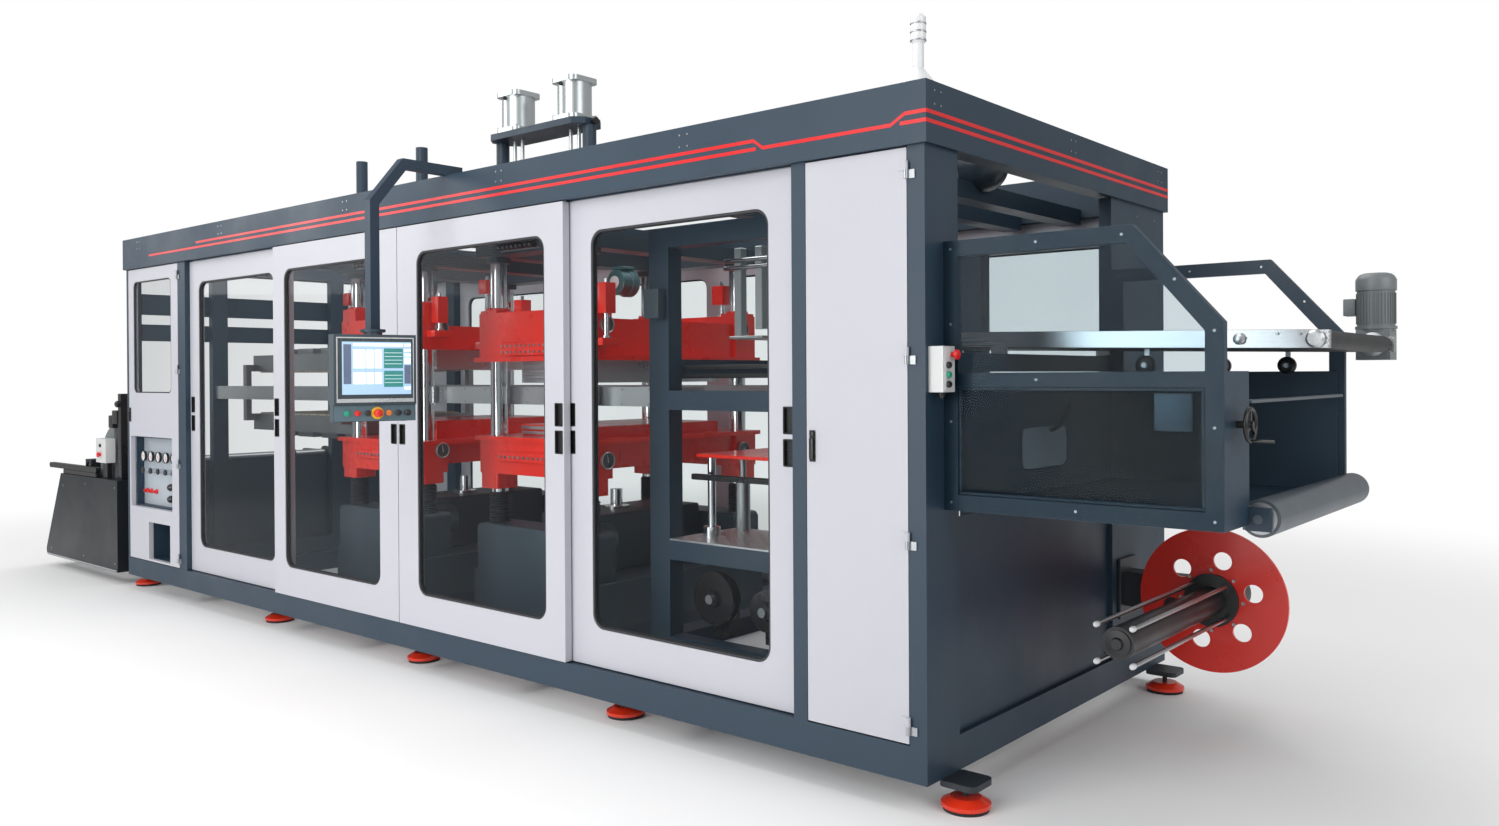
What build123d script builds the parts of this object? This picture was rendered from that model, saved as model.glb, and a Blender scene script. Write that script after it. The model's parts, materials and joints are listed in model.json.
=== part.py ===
from build123d import *
import os
from math import cos, radians, sin

# Thermoforming machine, in millimetres. +X runs with the film towards the delivery end, the
# operator's side looks to -Y and +Z is up. Everything is set out about the middle of the
# machine body with the floor at Z = 0, and shifted at the end so that the origin lies under
# the middle of the whole outline.

# Machine body
BODY_LENGTH = 6930.0
BODY_WIDTH = 2300.0
BODY_HEIGHT = 2500.0
FLOOR_GAP = 110.0
BASE_HEIGHT = 130.0
BASE_DEPTH = 100.0
FASCIA_HEIGHT = 222.0
FASCIA_THICK = 26.0
FASCIA_PROUD = 18.0
ROOF_BEAM_DEPTH = 92.0
POST_DEPTH = 94.0
TIE_WIDTH = 100.0
ROOF_TIE_HEIGHT = 90.0
ROOF_TIE_DROP = 120.0
SHEET = 4.0
SEAT_GAP = 0.3

# Ends of the body
END_POST_INSET = 44.0
END_POST_DEPTH = 60.0
END_POST_WIDTH = 120.0
END_POST_Y = 500.0
END_BAR_DEPTH = 40.0
END_BAR_DROPS = ((175.0, 330.0), (403.0, 528.0))
END_SHEET_HIGH = 930.0
END_NEAR_WIDTH = 136.0
END_FAR_GAP = 13.0
END_FAR_POST_WIDTH = 262.0
END_PANEL_THICK = 30.0
END_COVER_INSET = 22.0
END_COVER_THICK = 6.0
END_COVER_HIGH = 1040.0

# Bays of the front, from the film end to the delivery end
EDGE_POST = 32.0
LEFT_DOOR_WIDTH = 845.0
LEFT_MULLION = 115.0
RIGHT_MULLION = 67.0
RIGHT_DOOR_WIDTH = 459.0
CORNER_POST = 72.0

# Sliding doors on two tracks
DOOR_WIDTH = 1365.0
DOOR_THICK = 38.0
DOOR_PROUD = 14.0
TRACK_PITCH = 46.0
DOOR_GAP = 6.0
DOOR_MEET_X = 168.0
STILE_WIDE = 180.0
STILE_SLIM = 135.0
WINDOW_SILL = 178.0
WINDOW_DROP = 150.0
WINDOW_CORNER = 70.0
PANE_THICK = 6.0
PANE_SETBACK = 14.0
TONGUE_THICK = 10.0
TONGUE_HEIGHT = 24.0
TONGUE_END_GAP = 20.0
GROOVE_SIDE_GAP = 6.0
WHEEL_R = 18.0
WHEEL_WIDTH = 10.0
HANDLE_WIDTH = 59.0
HANDLE_HEIGHT = 110.0
HANDLE_DEPTH = 16.0
HANDLE_LOW = 1210.0
HANDLE_STEP = 128.0
HANDLE_EDGE = 8.0
DOOR_TRAVEL = 1190.0
REAR_STILE = 110.0

# Hinged service doors
SERVICE_THICK = 32.0
HINGE_R = 9.0
HINGE_LENGTH = 62.0
HINGE_PROUD = 10.0
HINGE_LEAF = 34.0
HINGE_LEAF_THICK = 5.0
HINGE_LOW_INSET = 72.0
HINGE_HIGH_INSET = 88.0
SERVICE_STILE_LEFT = 93.0
SERVICE_STILE_RIGHT = 112.0
SERVICE_WINDOW_LOW = 1470.0
SERVICE_WINDOW_DROP = 98.0
SERVICE_CORNER = 45.0
GAUGE_STILE = 28.0
GAUGE_Z = (630.0, 1150.0)
FITTING_INSETS = (333.0, 152.0)
FITTING_Z = (260.0, 530.0)
BOARD_WALL = 8.0
BOARD_DEPTH = 60.0
GAUGE_R = 33.0
KNOB_R = 20.0

# Feet
FOOT_END_PROUD = 60.0
FOOT_INNER_X = (-1490.0, 130.0, 1750.0)
FOOT_INSET_Y = 165.0
PAD_R = 84.0
PAD_HEIGHT = 14.0
DISC_R = 90.0
DISC_HEIGHT = 34.0
STUD_R = 11.0
FOOT_PLATE = 150.0
FOOT_PLATE_THICK = 22.0

# Presses: the forming press first, the cutting press second
PRESS_X = (-788.0, 692.0)
COLUMN_PITCH_X = 760.0
COLUMN_Y = 600.0
COLUMN_R = 48.0
BUSH_GAP = 0.3
PRESS_BED_TOP = 480.0
PRESS_BED_PROUD = 35.0
PEDESTAL_TOP = 746.0
PEDESTAL_DEPTH = 220.0
PEDESTAL_ROUND = 40.0
CROSSHEAD_HEIGHT = 85.0
CROSSHEAD_DROP = 67.0
PLATEN_HALF_Y = 700.0
PLATEN_END_DEPTH = 200.0
PLATEN_WEB_STEP = 50.0
BOSS = 150.0
BOSS_ROUND = 14.0
UPPER_LOW = (1741.0, 1657.0)
UPPER_HIGH = (1939.0, 1930.0)
UPPER_BOSS_HIGH = (2016.0, 1945.0)
LOWER_HIGH = (1186.0, 1239.0)
LOWER_LOW = (990.0, 1030.0)
LOWER_BOSS_LOW = (925.0, 942.0)
PLATEN_LIP = 24.0
PLATEN_LIP_PROUD = 22.0
TOOL_HEIGHT = 120.0
TOOL_GAP = 12.0
TOOL_RAIL_GAP = 15.0
LOWER_TABLE_TOP = 1300.0
UPPER_STROKE = 100.0
LOWER_STROKE = 100.0

# Film path
FILM_Z = 1465.0
FILM_RAIL_Y = 520.0
FILM_RAIL_HEIGHT = 100.0
FILM_RAIL_THICK = 40.0
FILM_SLOT = 16.0
HEATER_X = (-2900.0, -1500.0)
HEATER_HEIGHT = 120.0
HEATER_CLEAR = 160.0
HEATER_BAR = 50.0
HEATER_SIDE_GAP = 60.0

# Stacking station
STACK_INSETS = (1790.0, 765.0)
STACK_Y = 700.0
STACK_POST = 90.0
STACK_POST_LONG = 130.0
STACK_BEAM = 92.0
STACK_TOP_DROP = 114.0
STACK_SHELF_TOP = 1501.0
STACK_DECK_Z = 798.0
STACK_DECK_THICK = 8.0
STACK_DECK_WIDTH = 450.0
CABINET_LENGTH = 420.0
CABINET_WIDTH = 400.0
CABINET_Y = 255.0
CABINET_HEIGHT = 410.0

# Air tank under the roof
TANK_END_INSET = 405.0
TANK_LENGTH = 420.0
TANK_DROP = 95.0
TANK_R = 125.0
TANK_TIE_INSET = 40.0
TANK_SEAT = 40.0

# Roof unit
PLATFORM_RISE = 520.0
PLATFORM_THICK = 40.0
PLATFORM_LENGTH = 900.0
PLATFORM_WIDTH = 240.0
PLATFORM_CHAMFER = 60.0
PLATFORM_POST_X = (-420.0, 420.0)
PLATFORM_POST_R = 42.0
CYLINDER_X = (-256.0, 288.0)
CYLINDER_R = 104.0
CYLINDER_HEIGHT = 260.0
CYLINDER_FLANGE = 216.0
CYLINDER_FLANGE_THICK = 30.0
CYLINDER_ROD_R = 12.0
CYLINDER_ROD_PITCH = 76.0
ROOF_POST_X = (-2120.0, -1340.0)
ROOF_POST_R = 41.0
ROOF_POST_RISE = 580.0
ROOF_POST_PLATE = 190.0
ROOF_POST_PLATE_THICK = 16.0

# Signal lamp
BEACON_INSET = 60.0

# Hand pendant with the control screen
PENDANT_X = 610.0
PENDANT_REACH = 430.0
PENDANT_ROOT = 80.0
PENDANT_TUBE = 50.0
PENDANT_BEND = (170.0, 210.0)
PENDANT_DROP = 818.0
PENDANT_FLANGE_R = 60.0
PENDANT_FLANGE_THICK = 14.0
SCREEN_WIDTH = 395.0
SCREEN_HEIGHT = 340.0
STRIP_HEIGHT = 81.0
SCREEN_DEPTH = 90.0
STRIP_DEPTH = 63.0
SCREEN_NECK = 12.0
SCREEN_NECK_R = 45.0
PENDANT_TURN = 75.0
CONTROL_BOX_Z = (1507.0, 1670.0)
CONTROL_BOX_DEPTH = 60.0
CONTROL_BOX_WIDTH = 80.0
CONTROL_BOX_INSET = 20.0

# Guard over the delivery end
GUARD_NEAR_INSET = 140.0
GUARD_FAR_LAP = 10.0
GUARD_REACH = 980.0
GUARD_TOP_REACH = 695.0
GUARD_LOW = 1080.0
GUARD_HIGH = 2050.0
GUARD_MID = 1525.0
GUARD_MID_HEIGHT = 50.0
GUARD_MEMBER = 58.0
GUARD_THICK = 30.0
GUARD_SLOPE_END = 1727.0
GLAZING_THICK = 5.0
TRAY_THICK = 8.0

# Guide roller and handwheel
ROLLER_PROUD = 30.0
ROLLER_Z = 1100.0
ROLLER_R = 62.0
ROLLER_NEAR_GAP = 245.0
ROLLER_FAR_GAP = 30.0
ROLLER_PIN_R = 15.0
LUG_THICK = 16.0
LUG_HALF = 38.0
HANDWHEEL_INSET = 105.0
HANDWHEEL_Z = 1407.0
HANDWHEEL_R = 58.0
HANDWHEEL_RIM = 7.0
HANDWHEEL_STAND = 40.0
HANDWHEEL_GRIP = 70.0
HANDWHEEL_GRIP_R = 5.5

# Outfeed conveyor
CONVEYOR_Y = -40.0
CONVEYOR_WIDTH = 1010.0
CONVEYOR_START = 80.0
CONVEYOR_REACH = 1125.0
CONVEYOR_Z_END = 1680.0
CONVEYOR_TILT = 1.3
CONVEYOR_RAIL_HEIGHT = 60.0
CONVEYOR_ROLLER_R = 32.0
CONVEYOR_RAIL_THICK = 24.0
CONVEYOR_OVERHANG = 40.0
CONVEYOR_BAR_TOP = 1650.0
CONVEYOR_BAR_HEIGHT = 70.0
CONVEYOR_FOOT = 60.0
BELT_THICK = 4.0
BELT_SIDE_GAP = 10.0
BED_THICK = 24.0
MOTOR_R = 69.0
MOTOR_INSET = 46.0
MOTOR_OFFSET_Y = 100.0
MOTOR_LENGTH = 235.0
GEARBOX_HALF = 62.0

# Scrap winder
WINDER_REACH = 425.0
WINDER_Z = 560.0
WINDER_DISC_R = 320.0
WINDER_DISC_Y = 559.0
WINDER_DISC_THICK = 14.0
WINDER_CORE_R = 62.0
WINDER_CORE_Y = -490.0
WINDER_ROD_R = 9.0
WINDER_ROD_PCD = 196.0
WINDER_ROD_PROUD = 20.0
WINDER_HOLE_R = 40.0
WINDER_HOLE_PCD = 366.0
WINDER_ARM_GAP = 12.0
WINDER_ARM_WIDTH = 120.0
WINDER_ARM_HALF = 80.0
WINDER_ARM_LAP = 90.0
WINDER_MOTOR_R = 85.0
WINDER_MOTOR_LENGTH = 150.0

# Film unwinder at the film end
UNWIND_GAP = 210.0
UNWIND_BOX_LOW = 95.0
UNWIND_BOX_HIGH = 797.0
UNWIND_LENGTH_LOW = 1530.0
UNWIND_LENGTH_TOP = 1160.0
UNWIND_CORNER = 45.0
UNWIND_BOX_DEPTH = 170.0
UNWIND_SHAFT_INSET = 690.0
UNWIND_SHAFT_RISE = 73.0
UNWIND_SHAFT_R = 40.0
BEARING_HALF = 60.0
BEARING_THICK = 80.0
UNWIND_TIE = 100.0
UNWIND_TIE_INSETS = (120.0, 160.0)
UNWIND_TIE_LAP = 60.0

# Worked out from the sizes above
XL = -BODY_LENGTH / 2
XR = BODY_LENGTH / 2
YF = -BODY_WIDTH / 2
YB = BODY_WIDTH / 2
Z_SILL = FLOOR_GAP + BASE_HEIGHT
Z_TOP = FLOOR_GAP + BODY_HEIGHT
Z_HEAD = Z_TOP - FASCIA_HEIGHT
ROOF_TIE_TOP = Z_TOP - ROOF_TIE_DROP
ROOF_TIE_LOW = ROOF_TIE_TOP - ROOF_TIE_HEIGHT
X_LEFT_DOOR = (XL + EDGE_POST, XL + EDGE_POST + LEFT_DOOR_WIDTH)
X_RIGHT_DOOR = (XR - CORNER_POST - RIGHT_DOOR_WIDTH, XR - CORNER_POST)
X_OPENING = (X_LEFT_DOOR[1] + LEFT_MULLION, X_RIGHT_DOOR[0] - RIGHT_MULLION)
X_MULLION = X_OPENING[0] - LEFT_MULLION / 2
DOOR_LOW = Z_SILL + DOOR_GAP
DOOR_HIGH = Z_HEAD - DOOR_GAP
WINDOW_LOW = Z_SILL + WINDOW_SILL
WINDOW_HIGH = Z_HEAD - WINDOW_DROP
Y_FRONT_TRACK = YF - DOOR_PROUD
Y_BACK_TRACK = Y_FRONT_TRACK + TRACK_PITCH
DOOR_X0 = (X_OPENING[0] + DOOR_GAP, DOOR_MEET_X - DOOR_GAP / 2 - DOOR_WIDTH,
           DOOR_MEET_X + DOOR_GAP / 2, X_OPENING[1] - DOOR_GAP - DOOR_WIDTH)
DOOR_TRACK_Y = (Y_BACK_TRACK, Y_FRONT_TRACK, Y_FRONT_TRACK, Y_BACK_TRACK)
HINGE_Y = YF - HINGE_PROUD
HINGE_LOW = Z_SILL + HINGE_LOW_INSET
HINGE_STEP = (Z_HEAD - HINGE_HIGH_INSET - HINGE_LOW) / 3
SERVICE_WINDOW = (X_LEFT_DOOR[0] + SERVICE_STILE_LEFT, X_LEFT_DOOR[1] - SERVICE_STILE_RIGHT,
                  SERVICE_WINDOW_LOW, Z_HEAD - SERVICE_WINDOW_DROP)
GAUGE_OPENING = (X_LEFT_DOOR[0] + GAUGE_STILE, X_LEFT_DOOR[1] - SERVICE_STILE_RIGHT, *GAUGE_Z)
FITTING_OPENING = (X_LEFT_DOOR[0] + FITTING_INSETS[0], X_LEFT_DOOR[1] - FITTING_INSETS[1], *FITTING_Z)
FOOT_X = (XL - FOOT_END_PROUD, *FOOT_INNER_X, XR + FOOT_END_PROUD)
FOOT_Y = YB - FOOT_INSET_Y
CROSSHEAD_HIGH = ROOF_TIE_LOW - CROSSHEAD_DROP
CROSSHEAD_LOW = CROSSHEAD_HIGH - CROSSHEAD_HEIGHT
STACK_TOP = Z_HEAD - STACK_TOP_DROP
TANK_X = (XR - TANK_END_INSET - TANK_LENGTH, XR - TANK_END_INSET)
TANK_Z = Z_TOP - TANK_DROP
CRADLE_LOW = TANK_Z - TANK_R - TANK_SEAT
PLATFORM_Z = Z_TOP + PLATFORM_RISE
END_NEAR_Y = YF + POST_DEPTH + END_NEAR_WIDTH
END_FAR_POST_Y = CONVEYOR_Y + CONVEYOR_WIDTH / 2 + CONVEYOR_RAIL_THICK / 2 + END_FAR_GAP
END_FAR_PANEL_Y = END_FAR_POST_Y + END_FAR_POST_WIDTH
PENDANT_Y = YF - PENDANT_REACH
PENDANT_ARM_Z = Z_TOP + PENDANT_TUBE / 2
PENDANT_LOW = Z_TOP - PENDANT_DROP
SCREEN_REACH = (SCREEN_WIDTH * sin(radians(PENDANT_TURN)) + SCREEN_DEPTH * cos(radians(PENDANT_TURN))) / 2
GUARD_Y_NEAR = YF + GUARD_NEAR_INSET
GUARD_Y_FAR = END_FAR_POST_Y + GUARD_FAR_LAP
ROLLER_X = XR + GUARD_REACH + ROLLER_PROUD
ROLLER_Y0 = GUARD_Y_NEAR + ROLLER_NEAR_GAP
ROLLER_Y1 = GUARD_Y_FAR - ROLLER_FAR_GAP
HANDWHEEL_Y = GUARD_Y_NEAR + HANDWHEEL_INSET
STACK_X0 = XR - STACK_INSETS[0]
STACK_X1 = XR - STACK_INSETS[1]
CONVEYOR_X0 = STACK_X1 - CONVEYOR_START
CONVEYOR_X1 = XR + CONVEYOR_REACH
BELT_LENGTH = CONVEYOR_X1 - CONVEYOR_X0 - CONVEYOR_START
WINDER_X = XR + WINDER_REACH
UNWIND_X_IN = XL - UNWIND_GAP
UNWIND_X_HIGH = UNWIND_X_IN - UNWIND_LENGTH_TOP
UNWIND_X_LOW = UNWIND_X_IN - UNWIND_LENGTH_LOW
UNWIND_SHAFT_X = UNWIND_X_IN - UNWIND_SHAFT_INSET
UNWIND_SHAFT_Z = UNWIND_BOX_HIGH + UNWIND_SHAFT_RISE
SHIFT_X = -(UNWIND_X_LOW + CONVEYOR_X1 + CONVEYOR_OVERHANG) / 2
SHIFT_Y = -(YB + FASCIA_PROUD + PENDANT_Y - SCREEN_REACH) / 2


def block(x0, x1, y0, y1, z0, z1):
    """A box between two corners."""
    return Pos((x0 + x1) / 2, (y0 + y1) / 2, (z0 + z1) / 2) * Box(x1 - x0, y1 - y0, z1 - z0)


def rod_x(x0, x1, y, z, r):
    return Pos((x0 + x1) / 2, y, z) * Rot(0, 90, 0) * Cylinder(r, x1 - x0)


def rod_y(x, y0, y1, z, r):
    return Pos(x, (y0 + y1) / 2, z) * Rot(90, 0, 0) * Cylinder(r, y1 - y0)


def rod_z(x, y, z0, z1, r):
    return Pos(x, y, (z0 + z1) / 2) * Cylinder(r, z1 - z0)


def panel_xz(sketch, y_front, thick):
    """A sketch drawn in X and Z, made solid from y_front backwards."""
    return extrude(Plane.XZ.offset(-(y_front + thick)) * sketch, thick)


def opening(x0, x1, z0, z1, corner):
    return Pos((x0 + x1) / 2, (z0 + z1) / 2) * RectangleRounded(x1 - x0, z1 - z0, corner)


def mirror_y(shapes):
    return [mirror(s, Plane.XZ) for s in shapes]


# Body frame

def long_beams():
    """Base and roof beams along both sides; the front roof beam has the two door grooves."""
    base = block(XL, XR, YF, YF + BASE_DEPTH, FLOOR_GAP, Z_SILL)
    roof_y0 = YF - FASCIA_PROUD + FASCIA_THICK
    roof = block(XL, XR, roof_y0, roof_y0 + ROOF_BEAM_DEPTH, Z_HEAD, Z_TOP)
    front_roof = roof
    groove_top = Z_HEAD - DOOR_GAP + TONGUE_HEIGHT + GROOVE_SIDE_GAP
    for track in (Y_FRONT_TRACK, Y_BACK_TRACK):
        y0, y1 = tongue_span(track)
        low = max(y0 - GROOVE_SIDE_GAP, roof_y0)
        front_roof -= block(*X_OPENING, low, y1 + GROOVE_SIDE_GAP, Z_HEAD, groove_top)
    return [base, front_roof] + mirror_y([base, roof])


def tongue_span(track):
    """Y range of the tongue on top of a door: at its back on the front track, mid on the other."""
    back = track + DOOR_THICK
    if track == Y_FRONT_TRACK:
        return back - TONGUE_THICK, back
    middle = track + DOOR_THICK / 2
    return middle - TONGUE_THICK / 2, middle + TONGUE_THICK / 2


def cross_ties():
    """Base ties, roof ties, two hollowed ones that cradle the air tank, and the end bars."""
    inner = YB - BASE_DEPTH
    half = TIE_WIDTH / 2
    stack_middle = (STACK_X0 + STACK_X1) / 2
    columns = [x + side * COLUMN_PITCH_X / 2 for x in PRESS_X for side in (-1, 1)]
    ties = []
    for x in [XL + half, X_MULLION] + columns + [stack_middle, XR - half]:
        ties.append(block(x - half, x + half, -inner, inner, FLOOR_GAP, Z_SILL))
    roof_inner = YB - (FASCIA_THICK - FASCIA_PROUD) - ROOF_BEAM_DEPTH
    carriers = ROOF_POST_X + PLATFORM_POST_X + CYLINDER_X
    for x in (XL + half, X_MULLION) + carriers + (STACK_X0 + half, stack_middle, XR - half):
        ties.append(block(x - half, x + half, -roof_inner, roof_inner, ROOF_TIE_LOW, ROOF_TIE_TOP))
    for x in (TANK_X[0] + TANK_TIE_INSET, TANK_X[1] - TANK_TIE_INSET):
        cradle = block(x - half, x + half, -roof_inner, roof_inner, CRADLE_LOW, TANK_Z - TANK_R + TANK_SEAT)
        ties.append(cradle - rod_x(x - TIE_WIDTH, x + TIE_WIDTH, 0, TANK_Z, TANK_R + SEAT_GAP))
    bar_inner = YB - POST_DEPTH
    bar_x = XL + END_POST_INSET
    for drop_top, drop_low in END_BAR_DROPS:
        ties.append(block(bar_x - END_BAR_DEPTH, bar_x, -bar_inner, bar_inner, Z_HEAD - drop_low, Z_HEAD - drop_top))
    ties.append(block(XR - END_POST_DEPTH, XR, END_NEAR_Y, END_FAR_POST_Y,
                      CONVEYOR_BAR_TOP - CONVEYOR_BAR_HEIGHT, CONVEYOR_BAR_TOP))
    return ties


def posts():
    """Upright posts of the front, those of the back, and those in the film end."""
    spans = ((XL, X_LEFT_DOOR[0]), (X_LEFT_DOOR[1], X_OPENING[0]),
             (X_RIGHT_DOOR[1], XR), (X_OPENING[1], X_RIGHT_DOOR[0]))
    front = [block(x0, x1, YF, YF + POST_DEPTH, Z_SILL, Z_HEAD) for x0, x1 in spans]
    x0 = XL + END_POST_INSET
    half = END_POST_WIDTH / 2
    end = [block(x0, x0 + END_POST_DEPTH, y - half, y + half, Z_SILL, ROOF_TIE_LOW)
           for y in (-END_POST_Y, END_POST_Y)]
    return front + mirror_y(front[:3]) + end


def fascia_long():
    """The boards that close the top along both sides."""
    board = block(XL - FASCIA_PROUD, XR + FASCIA_PROUD, YF - FASCIA_PROUD,
                  YF - FASCIA_PROUD + FASCIA_THICK, Z_HEAD, Z_TOP)
    return [board] + mirror_y([board])


def fascia_ends():
    """The boards that close the top across both ends."""
    inner = YB + FASCIA_PROUD - FASCIA_THICK
    return [block(x, x + FASCIA_PROUD, -inner, inner, Z_HEAD, Z_TOP)
            for x in (XL - FASCIA_PROUD, XR)]


# Feet

def foot_places():
    return [(x, side * FOOT_Y) for x in FOOT_X for side in (-1, 1)]


def foot_pads():
    return [rod_z(x, y, 0, PAD_HEIGHT, PAD_R) for x, y in foot_places()]


def foot_discs():
    """Pressed steel caps over the rubber pads."""
    discs = []
    for x, y in foot_places():
        profile = Polyline((0, PAD_HEIGHT), (DISC_R, PAD_HEIGHT), (DISC_R, PAD_HEIGHT + 14.0),
                           (DISC_R - 34.0, PAD_HEIGHT + DISC_HEIGHT), (0, PAD_HEIGHT + DISC_HEIGHT),
                           (0, PAD_HEIGHT))
        face = make_face(Plane.XZ * profile)
        discs.append(Pos(x, y, 0) * revolve(face, Axis.Z))
    return discs


def foot_plates():
    """Bracket plate and levelling stud over each foot."""
    plates = []
    disc_top = PAD_HEIGHT + DISC_HEIGHT
    for x, y in foot_places():
        plate_low = FLOOR_GAP - FOOT_PLATE_THICK
        plate = Pos(x, y, FLOOR_GAP - FOOT_PLATE_THICK / 2) * extrude(
            Plane.XY.offset(-FOOT_PLATE_THICK / 2) * RectangleRounded(FOOT_PLATE, FOOT_PLATE, 30.0),
            FOOT_PLATE_THICK)
        stud = rod_z(x, y, disc_top, plate_low, STUD_R)
        plates.append(plate + stud)
    return plates


# Doors

def door_window(index):
    """X range of a door's window: the stile towards the middle of the machine is the wider one."""
    left, right = (STILE_SLIM, STILE_WIDE) if index < 2 else (STILE_WIDE, STILE_SLIM)
    return DOOR_X0[index] + left, DOOR_X0[index] + DOOR_WIDTH - right


def door_frame(index):
    """One sliding door: frame with a rounded window, handle pockets, tongue and two wheels."""
    x0 = DOOR_X0[index]
    x1 = x0 + DOOR_WIDTH
    track = DOOR_TRACK_Y[index]
    outline = opening(x0, x1, DOOR_LOW, DOOR_HIGH, 3.0)
    window = opening(*door_window(index), WINDOW_LOW, WINDOW_HIGH, WINDOW_CORNER)
    frame = panel_xz(outline - window, track, DOOR_THICK)
    for edge in (x0 + HANDLE_EDGE, x1 - HANDLE_EDGE - HANDLE_WIDTH):
        for step in (0, 1):
            low = HANDLE_LOW + step * HANDLE_STEP
            pocket = opening(edge, edge + HANDLE_WIDTH, low, low + HANDLE_HEIGHT, 6.0)
            frame -= panel_xz(pocket, track, HANDLE_DEPTH)
    y0, y1 = tongue_span(track)
    frame += block(x0 + TONGUE_END_GAP, x1 - TONGUE_END_GAP, y0, y1, DOOR_HIGH - TONGUE_THICK,
                   DOOR_HIGH + TONGUE_HEIGHT)
    wheel_y = track + DOOR_THICK - WHEEL_WIDTH - 2.0
    for x in door_window(index):
        frame += rod_y(x, wheel_y, wheel_y + WHEEL_WIDTH, Z_SILL + SEAT_GAP + WHEEL_R, WHEEL_R)
    return [frame]


def pane(x0, x1, z0, z1, corner, y_front):
    """Glazing that fits its rounded opening with a small gap all round."""
    g = SEAT_GAP
    return panel_xz(opening(x0 + g, x1 - g, z0 + g, z1 - g, corner - g), y_front, PANE_THICK)


def door_pane(index):
    return [pane(*door_window(index), WINDOW_LOW, WINDOW_HIGH, WINDOW_CORNER, DOOR_TRACK_Y[index] + PANE_SETBACK)]


def left_service_door():
    """Hinged door with a window, a gauge opening and a small fitting opening."""
    g = DOOR_GAP / 2
    sketch = opening(X_LEFT_DOOR[0] + g, X_LEFT_DOOR[1] - g, DOOR_LOW, DOOR_HIGH, 3.0)
    sketch -= opening(*SERVICE_WINDOW, SERVICE_CORNER)
    sketch -= opening(*GAUGE_OPENING, 6.0)
    sketch -= opening(*FITTING_OPENING, 6.0)
    return [panel_xz(sketch, YF, SERVICE_THICK) + hinge_halves(X_LEFT_DOOR[1], -1)]


def left_service_pane():
    return [pane(*SERVICE_WINDOW, SERVICE_CORNER, YF + PANE_SETBACK)]


def right_service_door():
    g = DOOR_GAP / 2
    sketch = opening(X_RIGHT_DOOR[0] + g, X_RIGHT_DOOR[1] - g, DOOR_LOW, DOOR_HIGH, 3.0)
    return [panel_xz(sketch, YF, SERVICE_THICK) + hinge_halves(X_RIGHT_DOOR[1], -1)]


def hinge_halves(x_edge, side):
    """Leaves and half knuckles on one side of a hinge line: side -1 is the door, +1 the post."""
    halves = []
    for i in range(4):
        z = HINGE_LOW + i * HINGE_STEP
        low, high = z - HINGE_LENGTH / 2, z - SEAT_GAP / 2
        if side < 0:
            low, high = z + SEAT_GAP / 2, z + HINGE_LENGTH / 2
        x0, x1 = sorted((x_edge, x_edge + side * HINGE_LEAF))
        leaf = block(x0, x1, YF - HINGE_LEAF_THICK, YF, low, high)
        halves.append(leaf + rod_z(x_edge, HINGE_Y, low, high, HINGE_R))
    return halves


def service_hinges():
    """The fixed halves of the hinges, on the post beside each service door."""
    return hinge_halves(X_LEFT_DOOR[1], 1) + hinge_halves(X_RIGHT_DOOR[1], 1)


def regulator_board():
    """Open-fronted box behind the gauge opening, with its board, gauges and knobs."""
    x0, x1, z0, z1 = GAUGE_OPENING
    front = YF + SERVICE_THICK + DOOR_GAP
    back = front + BOARD_DEPTH
    face = back - BOARD_WALL
    box = block(x0 - BOARD_WALL, X_LEFT_DOOR[1], front, back, z0 - BOARD_WALL, z1 + BOARD_WALL)
    box -= block(x0, x1, front, face, z0, z1)
    pitch = (x1 - x0) / 5.5
    for i in range(5):
        x = x0 + pitch * (0.75 + i)
        box += rod_y(x, face - 26.0, face, z1 - 150.0, GAUGE_R)
        box += rod_y(x, face - 40.0, face, z1 - 255.0, KNOB_R)
    return [box]


# Back and ends

def rear_bays():
    """X ranges of the four glazed panels at the back."""
    bay = (X_RIGHT_DOOR[1] - X_OPENING[0]) / 4
    return [(X_OPENING[0] + i * bay, X_OPENING[0] + (i + 1) * bay) for i in range(4)]


def rear_frames():
    """Four fixed glazed panels and a plain one behind the gauge board."""
    g = SEAT_GAP
    frames = [panel_xz(opening(X_LEFT_DOOR[0] + g, X_LEFT_DOOR[1] - g, Z_SILL, Z_HEAD, 3.0), YF, SERVICE_THICK)]
    for x0, x1 in rear_bays():
        sketch = opening(x0 + g, x1 - g, Z_SILL, Z_HEAD, 3.0)
        sketch -= opening(x0 + REAR_STILE, x1 - REAR_STILE, WINDOW_LOW, WINDOW_HIGH, WINDOW_CORNER)
        frames.append(panel_xz(sketch, YF, SERVICE_THICK))
    return mirror_y(frames)


def rear_panes():
    return mirror_y([pane(x0 + REAR_STILE, x1 - REAR_STILE, WINDOW_LOW, WINDOW_HIGH, WINDOW_CORNER,
                          YF + PANE_SETBACK) for x0, x1 in rear_bays()])


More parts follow.
